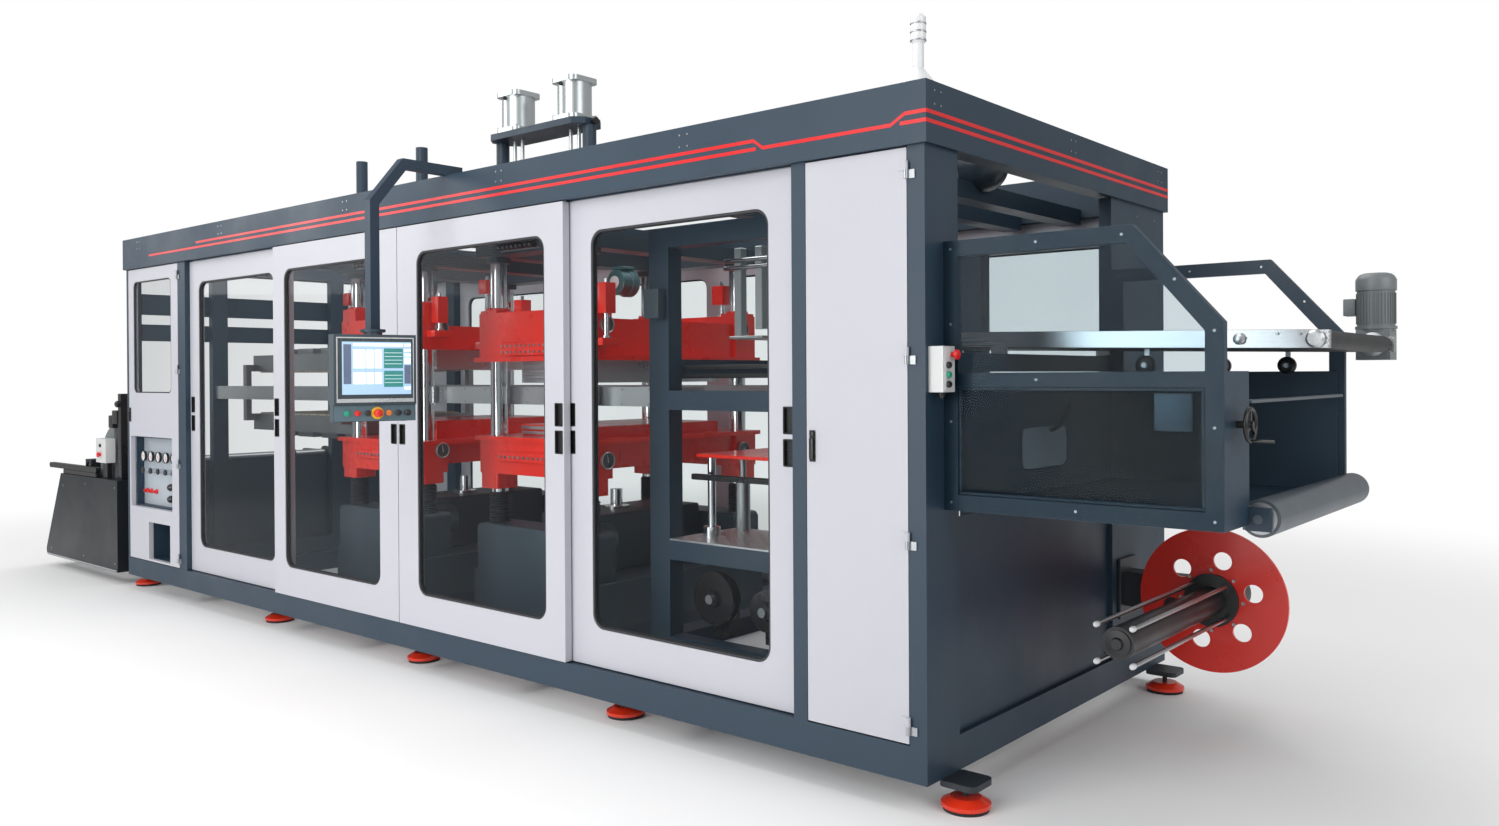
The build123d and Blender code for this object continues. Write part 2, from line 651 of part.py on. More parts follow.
def end_panels():
    """Sheets and panels in both ends; the delivery end stays open in the middle."""
    inner = YB - POST_DEPTH
    sheet_x = XL + END_POST_INSET
    cover_x = XR - END_COVER_INSET
    film_end = block(sheet_x - SHEET, sheet_x, -inner, inner, Z_SILL, END_SHEET_HIGH)
    near = block(XR - END_POST_DEPTH, XR, -inner, END_NEAR_Y, Z_SILL, Z_HEAD)
    far_post = block(XR - END_POST_DEPTH, XR, END_FAR_POST_Y, END_FAR_PANEL_Y, Z_SILL, Z_HEAD)
    far_panel = block(XR - END_PANEL_THICK, XR, END_FAR_PANEL_Y + SEAT_GAP, inner, Z_SILL, Z_HEAD)
    low_cover = block(cover_x - END_COVER_THICK, cover_x, END_NEAR_Y + SEAT_GAP, END_FAR_POST_Y - SEAT_GAP,
                      Z_SILL, END_COVER_HIGH)
    return [film_end, near, far_post, far_panel, low_cover]


# Presses

def column_places(press_x):
    return [(press_x + sx * COLUMN_PITCH_X / 2, sy * COLUMN_Y) for sx in (-1, 1) for sy in (-1, 1)]


def press_columns():
    return [rod_z(x, y, PEDESTAL_TOP, CROSSHEAD_LOW, COLUMN_R)
            for press_x in PRESS_X for x, y in column_places(press_x)]


def press_frames():
    """Bed with two round-topped pedestals, and the open ring of beams that joins the column heads."""
    half_x = COLUMN_PITCH_X / 2 + BOSS / 2
    blocks = []
    for x in PRESS_X:
        base = block(x - half_x - PRESS_BED_PROUD, x + half_x + PRESS_BED_PROUD, -PLATEN_HALF_Y, PLATEN_HALF_Y,
                     Z_SILL, PRESS_BED_TOP)
        for side in (-1, 1):
            y0, y1 = sorted((side * PLATEN_HALF_Y, side * (PLATEN_HALF_Y - PEDESTAL_DEPTH)))
            pedestal = block(x - half_x, x + half_x, y0, y1, PRESS_BED_TOP, PEDESTAL_TOP)
            shoulders = pedestal.edges().filter_by(Axis.Y).group_by(Axis.Z)[-1]
            base += fillet(shoulders, min(PEDESTAL_ROUND, BOSS / 2 - COLUMN_R + 10.0))
        ring = block(x - half_x, x + half_x, -PLATEN_HALF_Y, PLATEN_HALF_Y, CROSSHEAD_LOW, CROSSHEAD_HIGH)
        ring -= block(x - half_x + BOSS, x + half_x - BOSS, BOSS - PLATEN_HALF_Y, PLATEN_HALF_Y - BOSS,
                      CROSSHEAD_LOW, CROSSHEAD_HIGH)
        blocks += [base, ring]
    return blocks


def platen(press_x, slab, web, boss, lip_z):
    """Cast platen on its four columns: two deep end beams with rounded bosses, a shallower web, a lip."""
    half_x = COLUMN_PITCH_X / 2 + BOSS / 2
    inside = PLATEN_HALF_Y - PLATEN_END_DEPTH
    body = block(press_x - half_x + PLATEN_LIP_PROUD, press_x + half_x - PLATEN_LIP_PROUD, -inside, inside, *web)
    for side in (-1, 1):
        body += block(press_x - half_x, press_x + half_x,
                      *sorted((side * inside, side * (PLATEN_HALF_Y - PLATEN_LIP_PROUD))), *slab)
    body += block(press_x - half_x - PLATEN_LIP_PROUD, press_x + half_x + PLATEN_LIP_PROUD,
                  -PLATEN_HALF_Y, PLATEN_HALF_Y, lip_z, lip_z + PLATEN_LIP)
    for x, y in column_places(press_x):
        post = block(x - BOSS / 2, x + BOSS / 2, y - BOSS / 2, y + BOSS / 2, *boss)
        body += fillet(post.edges().filter_by(Axis.Z), BOSS_ROUND)
    for x, y in column_places(press_x):
        body -= rod_z(x, y, boss[0] - PLATEN_LIP, boss[1] + PLATEN_LIP, COLUMN_R + BUSH_GAP)
    return [body]


def upper_platen(index):
    low, high = UPPER_LOW[index], UPPER_HIGH[index]
    return platen(PRESS_X[index], (low, high), (low, high - PLATEN_WEB_STEP), (low, UPPER_BOSS_HIGH[index]), low)


def lower_platen(index):
    """Lower platen with the table that carries the bottom tool."""
    press_x = PRESS_X[index]
    low, high = LOWER_LOW[index], LOWER_HIGH[index]
    body = platen(press_x, (low, high), (low + PLATEN_WEB_STEP, high), (LOWER_BOSS_LOW[index], high),
                  high - PLATEN_LIP)[0]
    half_x, half_y = tool_half_sizes()
    body += block(press_x - half_x, press_x + half_x, -half_y, half_y, high, LOWER_TABLE_TOP)
    return [body]


def tool_half_sizes():
    """Half length and half width of the tools, which fit between the columns and film rails."""
    return (COLUMN_PITCH_X / 2 - COLUMN_R - TOOL_GAP, FILM_RAIL_Y - FILM_RAIL_THICK / 2 - TOOL_RAIL_GAP)


def upper_tool(index):
    """Tool block bolted under the upper platen, inside the columns."""
    half_x, half_y = tool_half_sizes()
    press_x = PRESS_X[index]
    return [block(press_x - half_x, press_x + half_x, -half_y, half_y,
                  UPPER_LOW[index] - TOOL_HEIGHT, UPPER_LOW[index])]


# Film path

def film_rails():
    """The two chain rails that carry the film edges through the machine."""
    z0 = FILM_Z - FILM_RAIL_HEIGHT / 2
    z1 = FILM_Z + FILM_RAIL_HEIGHT / 2
    half = FILM_RAIL_THICK / 2
    x0 = XL + END_POST_INSET + END_POST_DEPTH
    x1 = STACK_X0 + STACK_POST_LONG
    rail = block(x0, x1, -FILM_RAIL_Y - half, -FILM_RAIL_Y + half, z0, z1)
    rail -= block(x0, x1, -FILM_RAIL_Y, -FILM_RAIL_Y + half, FILM_Z - FILM_SLOT / 2, FILM_Z + FILM_SLOT / 2)
    rail += block(STACK_X0, x1, -STACK_Y + STACK_POST / 2, -FILM_RAIL_Y - half, z0, z1)
    return [rail] + mirror_y([rail])


def heaters():
    """Heater banks above and below the film, each on end bars that stand off the chain rails."""
    half_y = FILM_RAIL_Y - HEATER_SIDE_GAP
    leg_in = FILM_RAIL_Y - FILM_RAIL_THICK / 2
    leg_out = FILM_RAIL_Y + FILM_RAIL_THICK / 2
    banks = []
    for side in (-1, 1):
        rail_face = FILM_Z + side * FILM_RAIL_HEIGHT / 2
        near = FILM_Z + side * HEATER_CLEAR
        far = near + side * HEATER_HEIGHT
        bar_far = near + side * HEATER_BAR
        bank = block(*HEATER_X, -half_y, half_y, *sorted((near, far)))
        for x in HEATER_X:
            x0, x1 = sorted((x, x + HEATER_BAR * (1 if x == HEATER_X[0] else -1)))
            bank += block(x0, x1, -leg_out, leg_out, *sorted((near, bar_far)))
            for y0, y1 in ((leg_in, leg_out), (-leg_out, -leg_in)):
                bank += block(x0, x1, y0, y1, *sorted((rail_face, bar_far)))
        banks.append(bank)
    return banks


# Stacking station

def stack_frame():
    """Box-section frame between the cutting press and the delivery end."""
    p = STACK_POST
    wide = STACK_POST_LONG
    beam = STACK_BEAM
    half = p / 2
    ends = ((STACK_X0, STACK_X0 + wide), (STACK_X1 - wide, STACK_X1))
    sides = (-STACK_Y, STACK_Y)
    pieces = [block(*end, y - half, y + half, Z_SILL, STACK_TOP) for end in ends for y in sides]
    for top in (STACK_TOP, STACK_SHELF_TOP, STACK_DECK_Z - STACK_DECK_THICK, Z_SILL + beam):
        pieces += [block(STACK_X0, STACK_X1, y - half, y + half, top - beam, top) for y in sides]
    for top in (CONVEYOR_BAR_TOP, Z_SILL + beam):
        pieces += [block(*end, -STACK_Y, STACK_Y, top - beam, top) for end in ends]
    frame = pieces[0]
    for piece in pieces[1:]:
        frame += piece
    return [frame]


def stack_deck():
    """Tread-plate strip on the front bar, and a plain one opposite."""
    x0 = STACK_X0 + STACK_POST_LONG + SEAT_GAP
    x1 = STACK_X1 - STACK_POST_LONG - SEAT_GAP
    near = block(x0, x1, -STACK_Y - STACK_POST / 2, -STACK_Y + STACK_DECK_WIDTH,
                 STACK_DECK_Z - STACK_DECK_THICK, STACK_DECK_Z)
    return [near] + mirror_y([near])


def drive_cabinet():
    """Control cabinet that stands on the upper cross bars of the stacking station."""
    return [block(STACK_X0, STACK_X0 + CABINET_LENGTH, CABINET_Y, CABINET_Y + CABINET_WIDTH,
                  CONVEYOR_BAR_TOP, CONVEYOR_BAR_TOP + CABINET_HEIGHT)]


def air_tank():
    """Round-ended air tank that lies along the machine in its two cradles."""
    tank = rod_x(*TANK_X, 0, TANK_Z, TANK_R)
    for x in TANK_X:
        tank += Pos(x, 0, TANK_Z) * Sphere(TANK_R)
    return [tank]


# Roof unit

def roof_platform():
    """Plate with cut corners over the roof, on two posts that stand on roof ties."""
    outline = Rectangle(PLATFORM_LENGTH, PLATFORM_WIDTH)
    outline = chamfer(outline.vertices(), PLATFORM_CHAMFER)
    plate = Pos(0, 0, PLATFORM_Z - PLATFORM_THICK) * extrude(outline, PLATFORM_THICK)
    for x in PLATFORM_POST_X:
        plate += rod_z(x, 0, ROOF_TIE_TOP, PLATFORM_Z - PLATFORM_THICK, PLATFORM_POST_R)
    return [plate]


def roof_posts():
    """Two free-standing round posts, each through its square plate."""
    posts = []
    for x in ROOF_POST_X:
        post = rod_z(x, 0, ROOF_TIE_TOP, Z_TOP + ROOF_POST_RISE, ROOF_POST_R)
        post += Pos(x, 0, Z_TOP + ROOF_POST_PLATE_THICK / 2) * Box(
            ROOF_POST_PLATE, ROOF_POST_PLATE, ROOF_POST_PLATE_THICK)
        posts.append(post)
    return posts


def roof_cylinders():
    """Two pneumatic cylinders with square end flanges, and their rod pairs down through the roof."""
    pieces = []
    flange = RectangleRounded(CYLINDER_FLANGE, CYLINDER_FLANGE, CYLINDER_FLANGE / 5)
    for x in CYLINDER_X:
        top = PLATFORM_Z + CYLINDER_HEIGHT
        barrel = rod_z(x, 0, PLATFORM_Z, top, CYLINDER_R)
        for z in (PLATFORM_Z, top - CYLINDER_FLANGE_THICK):
            barrel += Pos(x, 0, z) * extrude(flange, CYLINDER_FLANGE_THICK)
        pieces.append(barrel)
        for side in (-1, 1):
            pieces.append(rod_z(x + side * CYLINDER_ROD_PITCH / 2, 0, ROOF_TIE_TOP, PLATFORM_Z - PLATFORM_THICK,
                                CYLINDER_ROD_R))
    return pieces


def beacon():
    """Signal lamp at the near corner of the delivery end."""
    profile = Polyline((0, 0), (60.0, 0), (60.0, 8.0), (20.0, 60.0), (20.0, 150.0), (28.0, 160.0),
                       (28.0, 245.0), (20.0, 255.0), (0, 255.0), (0, 0))
    return [Pos(XR - BEACON_INSET, YF + BEACON_INSET, Z_TOP) * revolve(make_face(Plane.XZ * profile), Axis.Z)]


# Control pendant

def pendant_arm():
    """Square tube from the roof, out over the operator's side and down to the swivel."""
    root = YF + PENDANT_ROOT
    bend_y, bend_z = PENDANT_BEND
    path = Polyline((PENDANT_X, root, PENDANT_ARM_Z), (PENDANT_X, PENDANT_Y + bend_y, PENDANT_ARM_Z),
                    (PENDANT_X, PENDANT_Y, PENDANT_ARM_Z - bend_z),
                    (PENDANT_X, PENDANT_Y, PENDANT_LOW + PENDANT_FLANGE_THICK))
    section = Plane(origin=(PENDANT_X, root, PENDANT_ARM_Z), z_dir=(0, -1, 0)) * Rectangle(
        PENDANT_TUBE, PENDANT_TUBE)
    arm = sweep(section, path=path, transition=Transition.RIGHT)
    arm += rod_z(PENDANT_X, PENDANT_Y, PENDANT_LOW, PENDANT_LOW + PENDANT_FLANGE_THICK, PENDANT_FLANGE_R)
    return [arm]


def screen_housing():
    """Control screen with its button strip, hung under the swivel."""
    case = Pos(0, 0, -SCREEN_NECK - SCREEN_HEIGHT / 2) * Box(SCREEN_WIDTH, SCREEN_DEPTH, SCREEN_HEIGHT)
    strip = Pos(0, 0, -SCREEN_NECK - SCREEN_HEIGHT - STRIP_HEIGHT / 2) * Box(SCREEN_WIDTH, STRIP_DEPTH, STRIP_HEIGHT)
    neck = Pos(0, 0, -SCREEN_NECK / 2) * Cylinder(SCREEN_NECK_R, SCREEN_NECK)
    whole = case + strip + neck
    return [Pos(PENDANT_X, PENDANT_Y, PENDANT_LOW - SEAT_GAP) * Rot(0, 0, PENDANT_TURN) * whole]


def end_control_box():
    """Button box on the corner post of the delivery end."""
    y0 = YF + CONTROL_BOX_INSET
    return [block(XR, XR + CONTROL_BOX_DEPTH, y0, y0 + CONTROL_BOX_WIDTH, *CONTROL_BOX_Z)]


# Guard over the delivery end

def guard_outline(x0, inset):
    """Outline of one side of the guard, drawn in X and Z; inset shrinks it by a member."""
    run = GUARD_REACH - GUARD_TOP_REACH
    rise = GUARD_HIGH - GUARD_SLOPE_END
    slope = (run * run + rise * rise) ** 0.5
    back = inset * (slope - rise) / run
    drop = inset * (slope - run) / rise
    return make_face(Polyline(
        (x0 + inset, GUARD_LOW + inset), (x0 + GUARD_REACH - inset, GUARD_LOW + inset),
        (x0 + GUARD_REACH - inset, GUARD_SLOPE_END - drop),
        (x0 + GUARD_TOP_REACH - back, GUARD_HIGH - inset),
        (x0 + inset, GUARD_HIGH - inset), (x0 + inset, GUARD_LOW + inset)))


def guard_frames():
    """Near and far side frames of the guard."""
    sides = []
    for y in (GUARD_Y_NEAR - GUARD_THICK / 2, GUARD_Y_FAR - GUARD_THICK / 2):
        sketch = guard_outline(XR, 0) - guard_outline(XR, GUARD_MEMBER)
        sketch += opening(XR + 10.0, XR + GUARD_REACH - 10.0, GUARD_MID, GUARD_MID + GUARD_MID_HEIGHT, 1.0)
        sides.append(panel_xz(sketch, y, GUARD_THICK))
    return sides


def guard_glazing():
    y = GUARD_Y_NEAR - GUARD_THICK / 2 - GLAZING_THICK
    return [panel_xz(guard_outline(XR + 2.0, 2.0), y, GLAZING_THICK)]


def roller_brackets():
    """End plate for the handwheel, a lug at each end of the guide roller, and the tray floor."""
    end = XR + GUARD_REACH
    half = GUARD_THICK / 2
    near = block(end - TRAY_THICK, end, GUARD_Y_NEAR + half, ROLLER_Y0 - LUG_THICK, GUARD_LOW,
                 GUARD_MID + GUARD_MID_HEIGHT)
    near += block(end - TRAY_THICK, ROLLER_X + LUG_HALF, ROLLER_Y0 - 2 * LUG_THICK, ROLLER_Y0 - LUG_THICK,
                  ROLLER_Z - LUG_HALF, ROLLER_Z + LUG_HALF)
    far = block(end, ROLLER_X + LUG_HALF, GUARD_Y_FAR - half, GUARD_Y_FAR - half + LUG_THICK,
                ROLLER_Z - LUG_HALF, ROLLER_Z + LUG_HALF)
    bore = rod_y(ROLLER_X, GUARD_Y_NEAR, GUARD_Y_FAR + 100.0, ROLLER_Z, ROLLER_PIN_R + SEAT_GAP)
    tray = block(XR, end - ROLLER_R, GUARD_Y_NEAR + half, GUARD_Y_FAR - half, GUARD_LOW, GUARD_LOW + TRAY_THICK)
    return [near - bore, far - bore, tray]


def guide_roller():
    """Plain roller with a pin at each end that turns in the lugs."""
    roller = rod_y(ROLLER_X, ROLLER_Y0, ROLLER_Y1, ROLLER_Z, ROLLER_R)
    return [roller + rod_y(ROLLER_X, ROLLER_Y0 - 2 * LUG_THICK, GUARD_Y_FAR - GUARD_THICK / 2 + LUG_THICK,
                           ROLLER_Z, ROLLER_PIN_R)]


def handwheel():
    """Spoked handwheel with its crank grip, on a shaft through the end plate."""
    x = XR + GUARD_REACH
    rim_x = x + HANDWHEEL_STAND
    rim_r = HANDWHEEL_R - HANDWHEEL_RIM
    wheel = Pos(rim_x, HANDWHEEL_Y, HANDWHEEL_Z) * Rot(0, 90, 0) * Torus(rim_r, HANDWHEEL_RIM)
    wheel += rod_x(x + SEAT_GAP, rim_x + 10.0, HANDWHEEL_Y, HANDWHEEL_Z, 12.0)
    for angle in (0, 120, 240):
        spoke = Pos(rim_x, HANDWHEEL_Y, HANDWHEEL_Z) * Rot(angle, 0, 0) * Pos(0, 0, rim_r / 2) * Box(
            8.0, 12.0, rim_r)
        wheel += spoke
    wheel += rod_x(rim_x, rim_x + HANDWHEEL_GRIP, HANDWHEEL_Y, HANDWHEEL_Z - rim_r, HANDWHEEL_GRIP_R)
    return [wheel]


# Outfeed conveyor, drawn level with its end roller at the origin and then tilted into place

def on_conveyor(shape):
    return Pos(CONVEYOR_X1, CONVEYOR_Y, CONVEYOR_Z_END) * Rot(0, CONVEYOR_TILT, 0) * shape


def conveyor_height(x):
    """Height of the middle line of the tilted conveyor over a point of the machine."""
    return CONVEYOR_Z_END + (CONVEYOR_X1 - x) * sin(radians(CONVEYOR_TILT)) / cos(radians(CONVEYOR_TILT))


def conveyor_rails():
    """Side rails joined by the belt bed and the end rollers, with feet down to two cross bars."""
    length = CONVEYOR_X1 - CONVEYOR_X0
    half = CONVEYOR_WIDTH / 2
    t = CONVEYOR_RAIL_THICK / 2
    clear = 2 * CONVEYOR_ROLLER_R
    frame = block(clear - BELT_LENGTH, -clear, -half, half, -BED_THICK / 2, BED_THICK / 2)
    for side in (-1, 1):
        frame += block(-length, CONVEYOR_OVERHANG, side * half - t, side * half + t,
                       -CONVEYOR_RAIL_HEIGHT / 2, CONVEYOR_RAIL_HEIGHT / 2)
    for x in (-BELT_LENGTH, 0.0):
        frame += rod_y(x, -half, half, 0, CONVEYOR_ROLLER_R - BELT_THICK - SEAT_GAP)
    frame = on_conveyor(frame)
    for x in (STACK_X1 - CONVEYOR_FOOT, XR - CONVEYOR_FOOT):
        for side in (-1, 1):
            y = CONVEYOR_Y + side * half
            frame += block(x, x + CONVEYOR_FOOT, y - t, y + t, CONVEYOR_BAR_TOP, conveyor_height(x))
    return [frame]


def conveyor_belt():
    """Closed belt round its two end rollers, one fixed loop."""
    outer = SlotOverall(BELT_LENGTH + 2 * CONVEYOR_ROLLER_R, 2 * CONVEYOR_ROLLER_R)
    inner_r = CONVEYOR_ROLLER_R - BELT_THICK
    inner = SlotOverall(BELT_LENGTH + 2 * inner_r, 2 * inner_r)
    half = CONVEYOR_WIDTH / 2 - CONVEYOR_RAIL_THICK / 2 - BELT_SIDE_GAP
    loop = extrude(Plane.XZ * (Pos(-BELT_LENGTH / 2, 0) * (outer - inner)), half, both=True)
    return [on_conveyor(loop)]


def conveyor_gearmotor():
    """Upright dome-topped motor with its worm gearbox at the far end of the end roller."""
    x = CONVEYOR_X1 - MOTOR_INSET
    y = CONVEYOR_Y + CONVEYOR_WIDTH / 2 + MOTOR_OFFSET_Y
    z = conveyor_height(x)
    g = GEARBOX_HALF
    unit = block(x - g, x + g, y - g, y + g, z - g, z + g)
    low = z + g - 8.0
    top = low + MOTOR_LENGTH
    motor = rod_z(x, y, low, top, MOTOR_R)
    unit += fillet(motor.edges().group_by(Axis.Z)[-1], MOTOR_R / 3)
    unit += rod_y(x, CONVEYOR_Y + CONVEYOR_WIDTH / 2 + CONVEYOR_RAIL_THICK / 2, y, z, 20.0)
    return [unit]


# Scrap winder

def winder_disc():
    disc = rod_y(WINDER_X, WINDER_DISC_Y, WINDER_DISC_Y + WINDER_DISC_THICK, WINDER_Z, WINDER_DISC_R)
    for i in range(6):
        a = radians(60 * i + 15)
        x = WINDER_X + WINDER_HOLE_PCD / 2 * cos(a)
        z = WINDER_Z + WINDER_HOLE_PCD / 2 * sin(a)
        disc -= rod_y(x, WINDER_DISC_Y - 1.0, WINDER_DISC_Y + WINDER_DISC_THICK + 1.0, z, WINDER_HOLE_R)
    return [disc]


def winder_core():
    return [rod_y(WINDER_X, WINDER_CORE_Y, WINDER_DISC_Y, WINDER_Z, WINDER_CORE_R)]


def winder_rods():
    rods = []
    for i in range(4):
        a = radians(90 * i + 45)
        x = WINDER_X + WINDER_ROD_PCD / 2 * cos(a)
        z = WINDER_Z + WINDER_ROD_PCD / 2 * sin(a)
        rods.append(rod_y(x, WINDER_CORE_Y - WINDER_ROD_PROUD, WINDER_DISC_Y, z, WINDER_ROD_R))
    return rods


def winder_bracket():
    """Bearing arm from the machine end to the winder shaft, with its drive motor beyond."""
    face = WINDER_DISC_Y + WINDER_DISC_THICK
    y0 = face + WINDER_ARM_GAP
    y1 = y0 + WINDER_ARM_WIDTH
    arm = block(XR, WINDER_X + WINDER_ARM_LAP, y0, y1, WINDER_Z - WINDER_ARM_HALF, WINDER_Z + WINDER_ARM_HALF)
    arm += rod_y(WINDER_X, face + SEAT_GAP, y0, WINDER_Z, 35.0)
    motor = rod_y(WINDER_X, y1, y1 + WINDER_MOTOR_LENGTH, WINDER_Z, WINDER_MOTOR_R)
    arm += fillet(motor.edges().group_by(Axis.Y)[-1], WINDER_MOTOR_R / 3)
    return [arm]


# Film unwinder

def unwinder_side_boxes():
    """Sloping side boxes with a bearing block on each for the film roll's shaft."""
    sketch = make_face(Polyline(
        (UNWIND_X_LOW, UNWIND_BOX_LOW), (UNWIND_X_IN, UNWIND_BOX_LOW), (UNWIND_X_IN, UNWIND_BOX_HIGH),
        (UNWIND_X_HIGH, UNWIND_BOX_HIGH), (UNWIND_X_LOW, UNWIND_BOX_LOW)))
    toe = sketch.vertices().sort_by(Axis.X)[0]
    near = panel_xz(fillet(toe, UNWIND_CORNER), YF, UNWIND_BOX_DEPTH)
    y = YF + UNWIND_BOX_DEPTH / 2
    half = BEARING_THICK / 2
    near += block(UNWIND_SHAFT_X - BEARING_HALF, UNWIND_SHAFT_X + BEARING_HALF, y - half, y + half,
                  UNWIND_BOX_HIGH, UNWIND_SHAFT_Z + BEARING_HALF)
    near -= rod_y(UNWIND_SHAFT_X, y - half, y + half, UNWIND_SHAFT_Z, UNWIND_SHAFT_R + SEAT_GAP)
    return [near] + mirror_y([near])


def unwinder_frame():
    """Floor frame that ties the side boxes to each other and to the machine base."""
    inner = YB - UNWIND_BOX_DEPTH
    t = UNWIND_TIE
    top = FLOOR_GAP + t
    near_toe, near_machine = UNWIND_TIE_INSETS
    ties = [block(x, x + t, -inner, inner, FLOOR_GAP, top)
            for x in (UNWIND_X_LOW + near_toe, UNWIND_X_IN - near_machine)]
    for side in (-1, 1):
        y0, y1 = sorted((side * inner, side * (inner - t)))
        ties.append(block(UNWIND_X_IN - UNWIND_TIE_LAP, XL, y0, y1, FLOOR_GAP, top))
    return ties


def unwinder_roll():
    """The bare shaft that a roll of film is pushed onto."""
    reach = YB - UNWIND_BOX_DEPTH / 2 + 30.0
    return [rod_y(UNWIND_SHAFT_X, -reach, reach, UNWIND_SHAFT_Z, UNWIND_SHAFT_R)]


NODES = {
    "long_beams": long_beams(),
    "cross_ties": cross_ties(),
    "posts": posts(),
    "fascia_long": fascia_long(),
    "fascia_ends": fascia_ends(),
    "foot_pads": foot_pads(),
    "foot_discs": foot_discs(),
    "foot_plates": foot_plates(),
    "left_service_door": left_service_door(),
    "left_service_pane": left_service_pane(),
    "right_service_door": right_service_door(),
    "service_hinges": service_hinges(),
    "regulator_board": regulator_board(),
    "rear_frames": rear_frames(),
    "rear_panes": rear_panes(),
    "end_panels": end_panels(),
    "press_columns": press_columns(),
    "press_frames": press_frames(),
    "film_rails": film_rails(),
    "heaters": heaters(),
    "stack_frame": stack_frame(),
    "stack_deck": stack_deck(),
    "drive_cabinet": drive_cabinet(),
    "air_tank": air_tank(),
    "roof_platform": roof_platform(),
    "roof_posts": roof_posts(),
    "roof_cylinders": roof_cylinders(),
    "beacon": beacon(),
    "pendant_arm": pendant_arm(),
    "screen_housing": screen_housing(),
    "end_control_box": end_control_box(),
    "guard_frames": guard_frames(),
    "guard_glazing": guard_glazing(),
    "roller_brackets": roller_brackets(),
    "guide_roller": guide_roller(),
    "handwheel": handwheel(),
    "conveyor_rails": conveyor_rails(),
    "conveyor_belt": conveyor_belt(),
    "conveyor_gearmotor": conveyor_gearmotor(),
    "winder_disc": winder_disc(),
    "winder_core": winder_core(),
    "winder_rods": winder_rods(),
    "winder_bracket": winder_bracket(),
    "unwinder_side_boxes": unwinder_side_boxes(),
    "unwinder_frame": unwinder_frame(),
    "unwinder_roll": unwinder_roll(),
}
for number in range(4):
    NODES[f"door_{number + 1}_frame"] = door_frame(number)
    NODES[f"door_{number + 1}_pane"] = door_pane(number)
for number in range(len(PRESS_X)):
    NODES[f"press_{number + 1}_upper_platen"] = upper_platen(number)
    NODES[f"press_{number + 1}_lower_platen"] = lower_platen(number)
    NODES[f"press_{number + 1}_tool"] = upper_tool(number)

os.makedirs("parts", exist_ok=True)
for name, shapes in NODES.items():
    solids = [solid for shape in shapes for solid in shape.solids()]
    placed = Pos(SHIFT_X, SHIFT_Y, 0) * Compound(solids)
    export_step(placed, f"parts/{name}.step")
    print(name, len(solids))
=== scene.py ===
# %% [markdown]
# # A thermoforming machine
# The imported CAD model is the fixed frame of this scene. It gives every body its place, and this
# script dresses it: real finishes, and the small parts that a CAD model leaves out. Everything is
# in metres. `mid` turns a point measured from the middle of the machine body into a point of the
# frame, so that all sizes below can be read off a drawing of the machine.

# %% The frame
import json
from math import cos, pi, radians, sin

import bmesh
import bpy
from mathutils import Matrix, Vector


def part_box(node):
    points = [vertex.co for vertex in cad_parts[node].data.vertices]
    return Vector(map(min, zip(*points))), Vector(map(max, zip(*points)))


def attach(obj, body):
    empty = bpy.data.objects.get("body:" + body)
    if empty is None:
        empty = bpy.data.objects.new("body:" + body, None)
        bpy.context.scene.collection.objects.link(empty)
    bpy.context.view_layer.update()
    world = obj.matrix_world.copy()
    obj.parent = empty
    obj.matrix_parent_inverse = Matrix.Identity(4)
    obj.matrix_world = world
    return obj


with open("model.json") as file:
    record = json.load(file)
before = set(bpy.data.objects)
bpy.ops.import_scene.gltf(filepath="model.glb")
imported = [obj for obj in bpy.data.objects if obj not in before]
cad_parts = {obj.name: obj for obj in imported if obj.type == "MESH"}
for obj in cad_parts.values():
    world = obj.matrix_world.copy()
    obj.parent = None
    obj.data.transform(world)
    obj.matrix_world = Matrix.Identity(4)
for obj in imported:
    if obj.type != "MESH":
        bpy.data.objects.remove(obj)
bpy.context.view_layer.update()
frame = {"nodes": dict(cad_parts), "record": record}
nodes = frame["nodes"]
scene = bpy.context.scene
body_low, body_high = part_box("long_beams")
MIDDLE = Vector(((body_low.x + body_high.x) / 2, (body_low.y + body_high.y) / 2, 0))
FRONT, BACK, LEFT, RIGHT, UP, DOWN = (0, -1, 0), (0, 1, 0), (-1, 0, 0), (1, 0, 0), (0, 0, 1), (0, 0, -1)
print("body", [round(side, 3) for side in body_high - body_low])


def mid(x, y, z):
    """A point measured from the middle of the machine body, in the frame's coordinates."""
    return MIDDLE + Vector((x, y, z))


# %% [markdown]
# ## Camera
# The photograph was taken at eye height from off the front corner. A camera is a rotation, a place
# and a lens. The three direction vectors below are the picture's right, its up and the way it
# looks, and the lens is the focal length for a sensor 36 mm wide. The horizon is a little above
# the middle of the picture, which a small vertical shift gives without tilting the uprights.

# %% Camera
PICTURE_WIDTH, PICTURE_HEIGHT = 1499, 826
FOCAL_PIXELS = 1127.8
HORIZON_ROW = 382.0
EYE = (5.5638, -4.5912, 1.5673)
YAW, PITCH, ROLL = 0.7025, -0.0051, -0.0057


